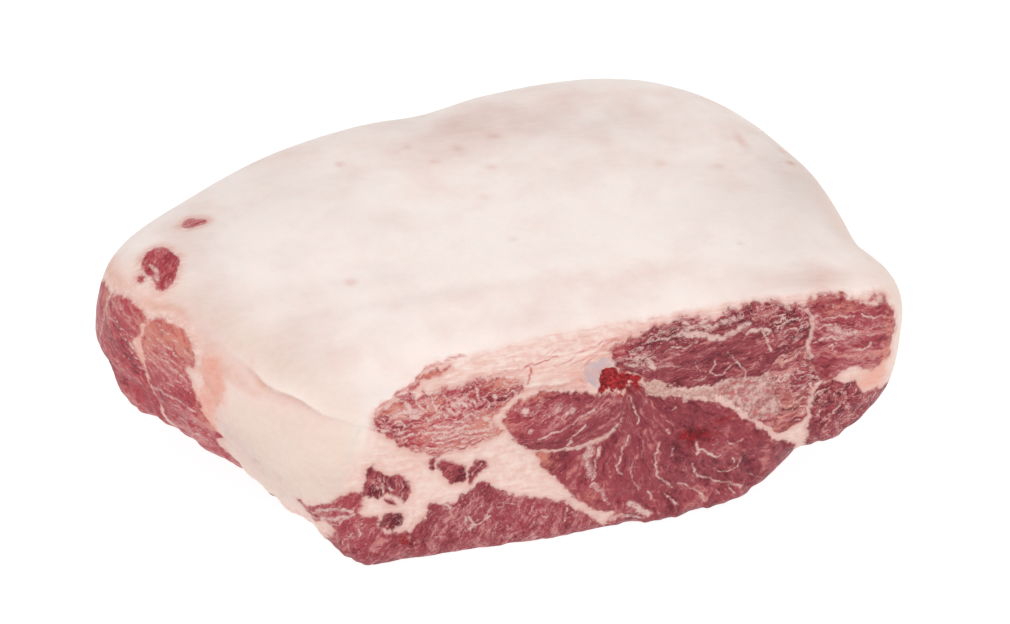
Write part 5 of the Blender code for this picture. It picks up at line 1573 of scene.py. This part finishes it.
def cut_piece(name, base, cuts):
    """A copy of a mesh, cut by each tool in turn."""
    piece = new_object(name, base.data.copy())
    for operation, tool in cuts:
        boolean(piece, operation, tool)
    return applied(piece)


def dress(piece, material, node):
    """Gives a finished form its vertex values, its material and its place in the model."""
    values = surface_values(vertex_points(piece.data))
    for name, value in values.items():
        if name != "relief":
            store(piece.data, name, value)
    piece.data.materials.clear()
    piece.data.materials.append(material)
    piece.data.polygons.foreach_set("use_smooth", np.ones(len(piece.data.polygons), bool))
    piece.data.set_sharp_from_angle(angle=np.radians(SHARP_EDGE))
    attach(piece, BODY)
    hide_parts(node)


class PORKBUTT_OT_joint(bpy.types.Operator):
    """Make the lean, the fat cap and the blade bone of the joint"""
    bl_idname = "pork_butt.joint"
    bl_label = "Lean, Fat and Bone"

    def execute(self, context):
        props = context.scene.pork_butt
        skin = joint_skin(props)
        meat = new_object("meat_form", form_mesh("meat_form", gridded_block(MEAT_CELLS), meat_sides(),
                                                 MEAT_SWELLS, {}))
        seams = [new_object(name + "_fat", prism_mesh(name + "_fat", outline, SEAM_FAT_DEPTH))
                 for name, outline in SEAM_FAT_OUTLINES.items()]
        bone = new_object("bone_form", prism_mesh("bone_form", BONE_OUTLINE, BONE_DEPTH))
        hollow = cut_piece("hollow", meat, [('DIFFERENCE', seam) for seam in seams])
        cuts = {
            "lean_finish": (skin, [('INTERSECT', hollow), ('DIFFERENCE', bone)]),
            "fat_cap_finish": (skin, [('DIFFERENCE', hollow)]),
            "blade_bone_finish": (bone, [('INTERSECT', skin)]),
        }
        pieces = {name: cut_piece(name, base, steps) for name, (base, steps) in cuts.items()}
        drop(skin, meat, bone, hollow, *seams)
        group = surface_group(props)
        for name, finish in FINISHES.items():
            dress(pieces[name], finish_material(finish, group), finish.node)
        return {'FINISHED'}


def area_light(name, place, aim, size, power):
    light = bpy.data.lights.new(name, 'AREA')
    light.shape = 'RECTANGLE'
    light.size, light.size_y = size
    light.energy = power
    obj = bpy.data.objects.new(name, light)
    obj.location = place
    obj.rotation_mode = 'QUATERNION'
    obj.rotation_quaternion = (Vector(aim) - Vector(place)).to_track_quat('-Z', 'Y')
    bpy.context.scene.collection.objects.link(obj)


def floor_material():
    material = bpy.data.materials.new("pale_floor")
    material.use_nodes = True
    wire = Wiring(material.node_tree)
    shader = material.node_tree.nodes["Principled BSDF"]
    place = wire.node("ShaderNodeTexCoord").outputs["Object"]
    noise = wire.node("ShaderNodeTexNoise", {"Vector": place, "Scale": FLOOR_HAZE_SCALE}).outputs[0]
    haze = wire.mix(noise, *((grey, grey, grey) for grey in FLOOR_GREYS))
    for name, value in {"Base Color": haze, "Roughness": FLOOR_ROUGHNESS, "Emission Color": WHITE,
                        "Emission Strength": FLOOR_GLOW, "Specular IOR Level": FLOOR_SHINE}.items():
        wire.feed(shader.inputs[name], value)
    return material


class PORKBUTT_OT_stage(bpy.types.Operator):
    """Set up the floor, the soft lights and the camera"""
    bl_idname = "pork_butt.stage"
    bl_label = "Stage"

    def execute(self, context):
        stage = context.scene.pork_butt_stage
        scene = context.scene
        scene.view_settings.view_transform = 'Standard'
        mesh = bpy.data.meshes.new("floor")
        bm = bmesh.new()
        bmesh.ops.create_grid(bm, x_segments=1, y_segments=1, size=FLOOR_HALF)
        bm.to_mesh(mesh)
        bm.free()
        floor = new_object("floor", mesh)
        mesh.materials.append(floor_material())

        world = bpy.data.worlds.new("soft_room")
        world.use_nodes = True
        wire = Wiring(world.node_tree)
        towards = wire.vector('DOT_PRODUCT', wire.node("ShaderNodeTexCoord").outputs["Generated"],
                              ROOM_BRIGHT_SIDE)
        glow = wire.times(wire.plus(wire.times(towards, ROOM_CONTRAST), 1.0), stage.daylight)
        background = world.node_tree.nodes["Background"]
        wire.feed(background.inputs["Strength"], glow)
        wire.feed(background.inputs["Color"], WHITE)
        scene.world = world

        aim = Vector(stage.aim)
        for name, (place, size) in LIGHTS.items():
            area_light(name, place, aim, size, getattr(stage, name))

        camera = bpy.data.cameras.new("camera")
        camera.lens = stage.lens
        camera.sensor_width = SENSOR_WIDTH
        obj = bpy.data.objects.new("camera", camera)
        bearing, height = stage.camera_bearing, stage.camera_height
        back = Vector((np.sin(bearing) * np.cos(height), -np.cos(bearing) * np.cos(height), np.sin(height)))
        obj.location = aim + back * stage.camera_distance
        obj.rotation_mode = 'QUATERNION'
        obj.rotation_quaternion = (-back).to_track_quat('-Z', 'Y')
        scene.collection.objects.link(obj)
        scene.camera = obj
        return {'FINISHED'}


class PORKBUTT_PT_panel(bpy.types.Panel):
    bl_label = "Pork Butt"
    bl_idname = "PORKBUTT_PT_panel"
    bl_space_type = 'VIEW_3D'
    bl_region_type = 'UI'
    bl_category = "Pork Butt"

    def draw(self, context):
        for settings in (context.scene.pork_butt, context.scene.pork_butt_stage):
            column = self.layout.column(align=True)
            for name in settings.__annotations__:
                column.prop(settings, name)
        for operator in OPERATORS:
            self.layout.operator(operator.bl_idname)


OPERATORS = (PORKBUTT_OT_joint, PORKBUTT_OT_stage)
CLASSES = (ButtFinishSettings, ButtStageSettings, *OPERATORS, PORKBUTT_PT_panel)


def register():
    for cls in CLASSES:
        bpy.utils.register_class(cls)
    bpy.types.Scene.pork_butt = bpy.props.PointerProperty(type=ButtFinishSettings)
    bpy.types.Scene.pork_butt_stage = bpy.props.PointerProperty(type=ButtStageSettings)


def unregister():
    del bpy.types.Scene.pork_butt_stage
    del bpy.types.Scene.pork_butt
    for cls in reversed(CLASSES):
        bpy.utils.unregister_class(cls)


def clear_start_scene():
    """Removes what a new Blender file holds besides the frame."""
    kept = set(frame["nodes"].values()) | set(frame["bodies"].values())
    for obj in [obj for obj in bpy.data.objects if obj not in kept]:
        bpy.data.objects.remove(obj)


def main():
    clear_start_scene()
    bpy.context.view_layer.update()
    register()
    bpy.ops.pork_butt.joint()
    bpy.ops.pork_butt.stage()


if __name__ == "__main__":
    main()
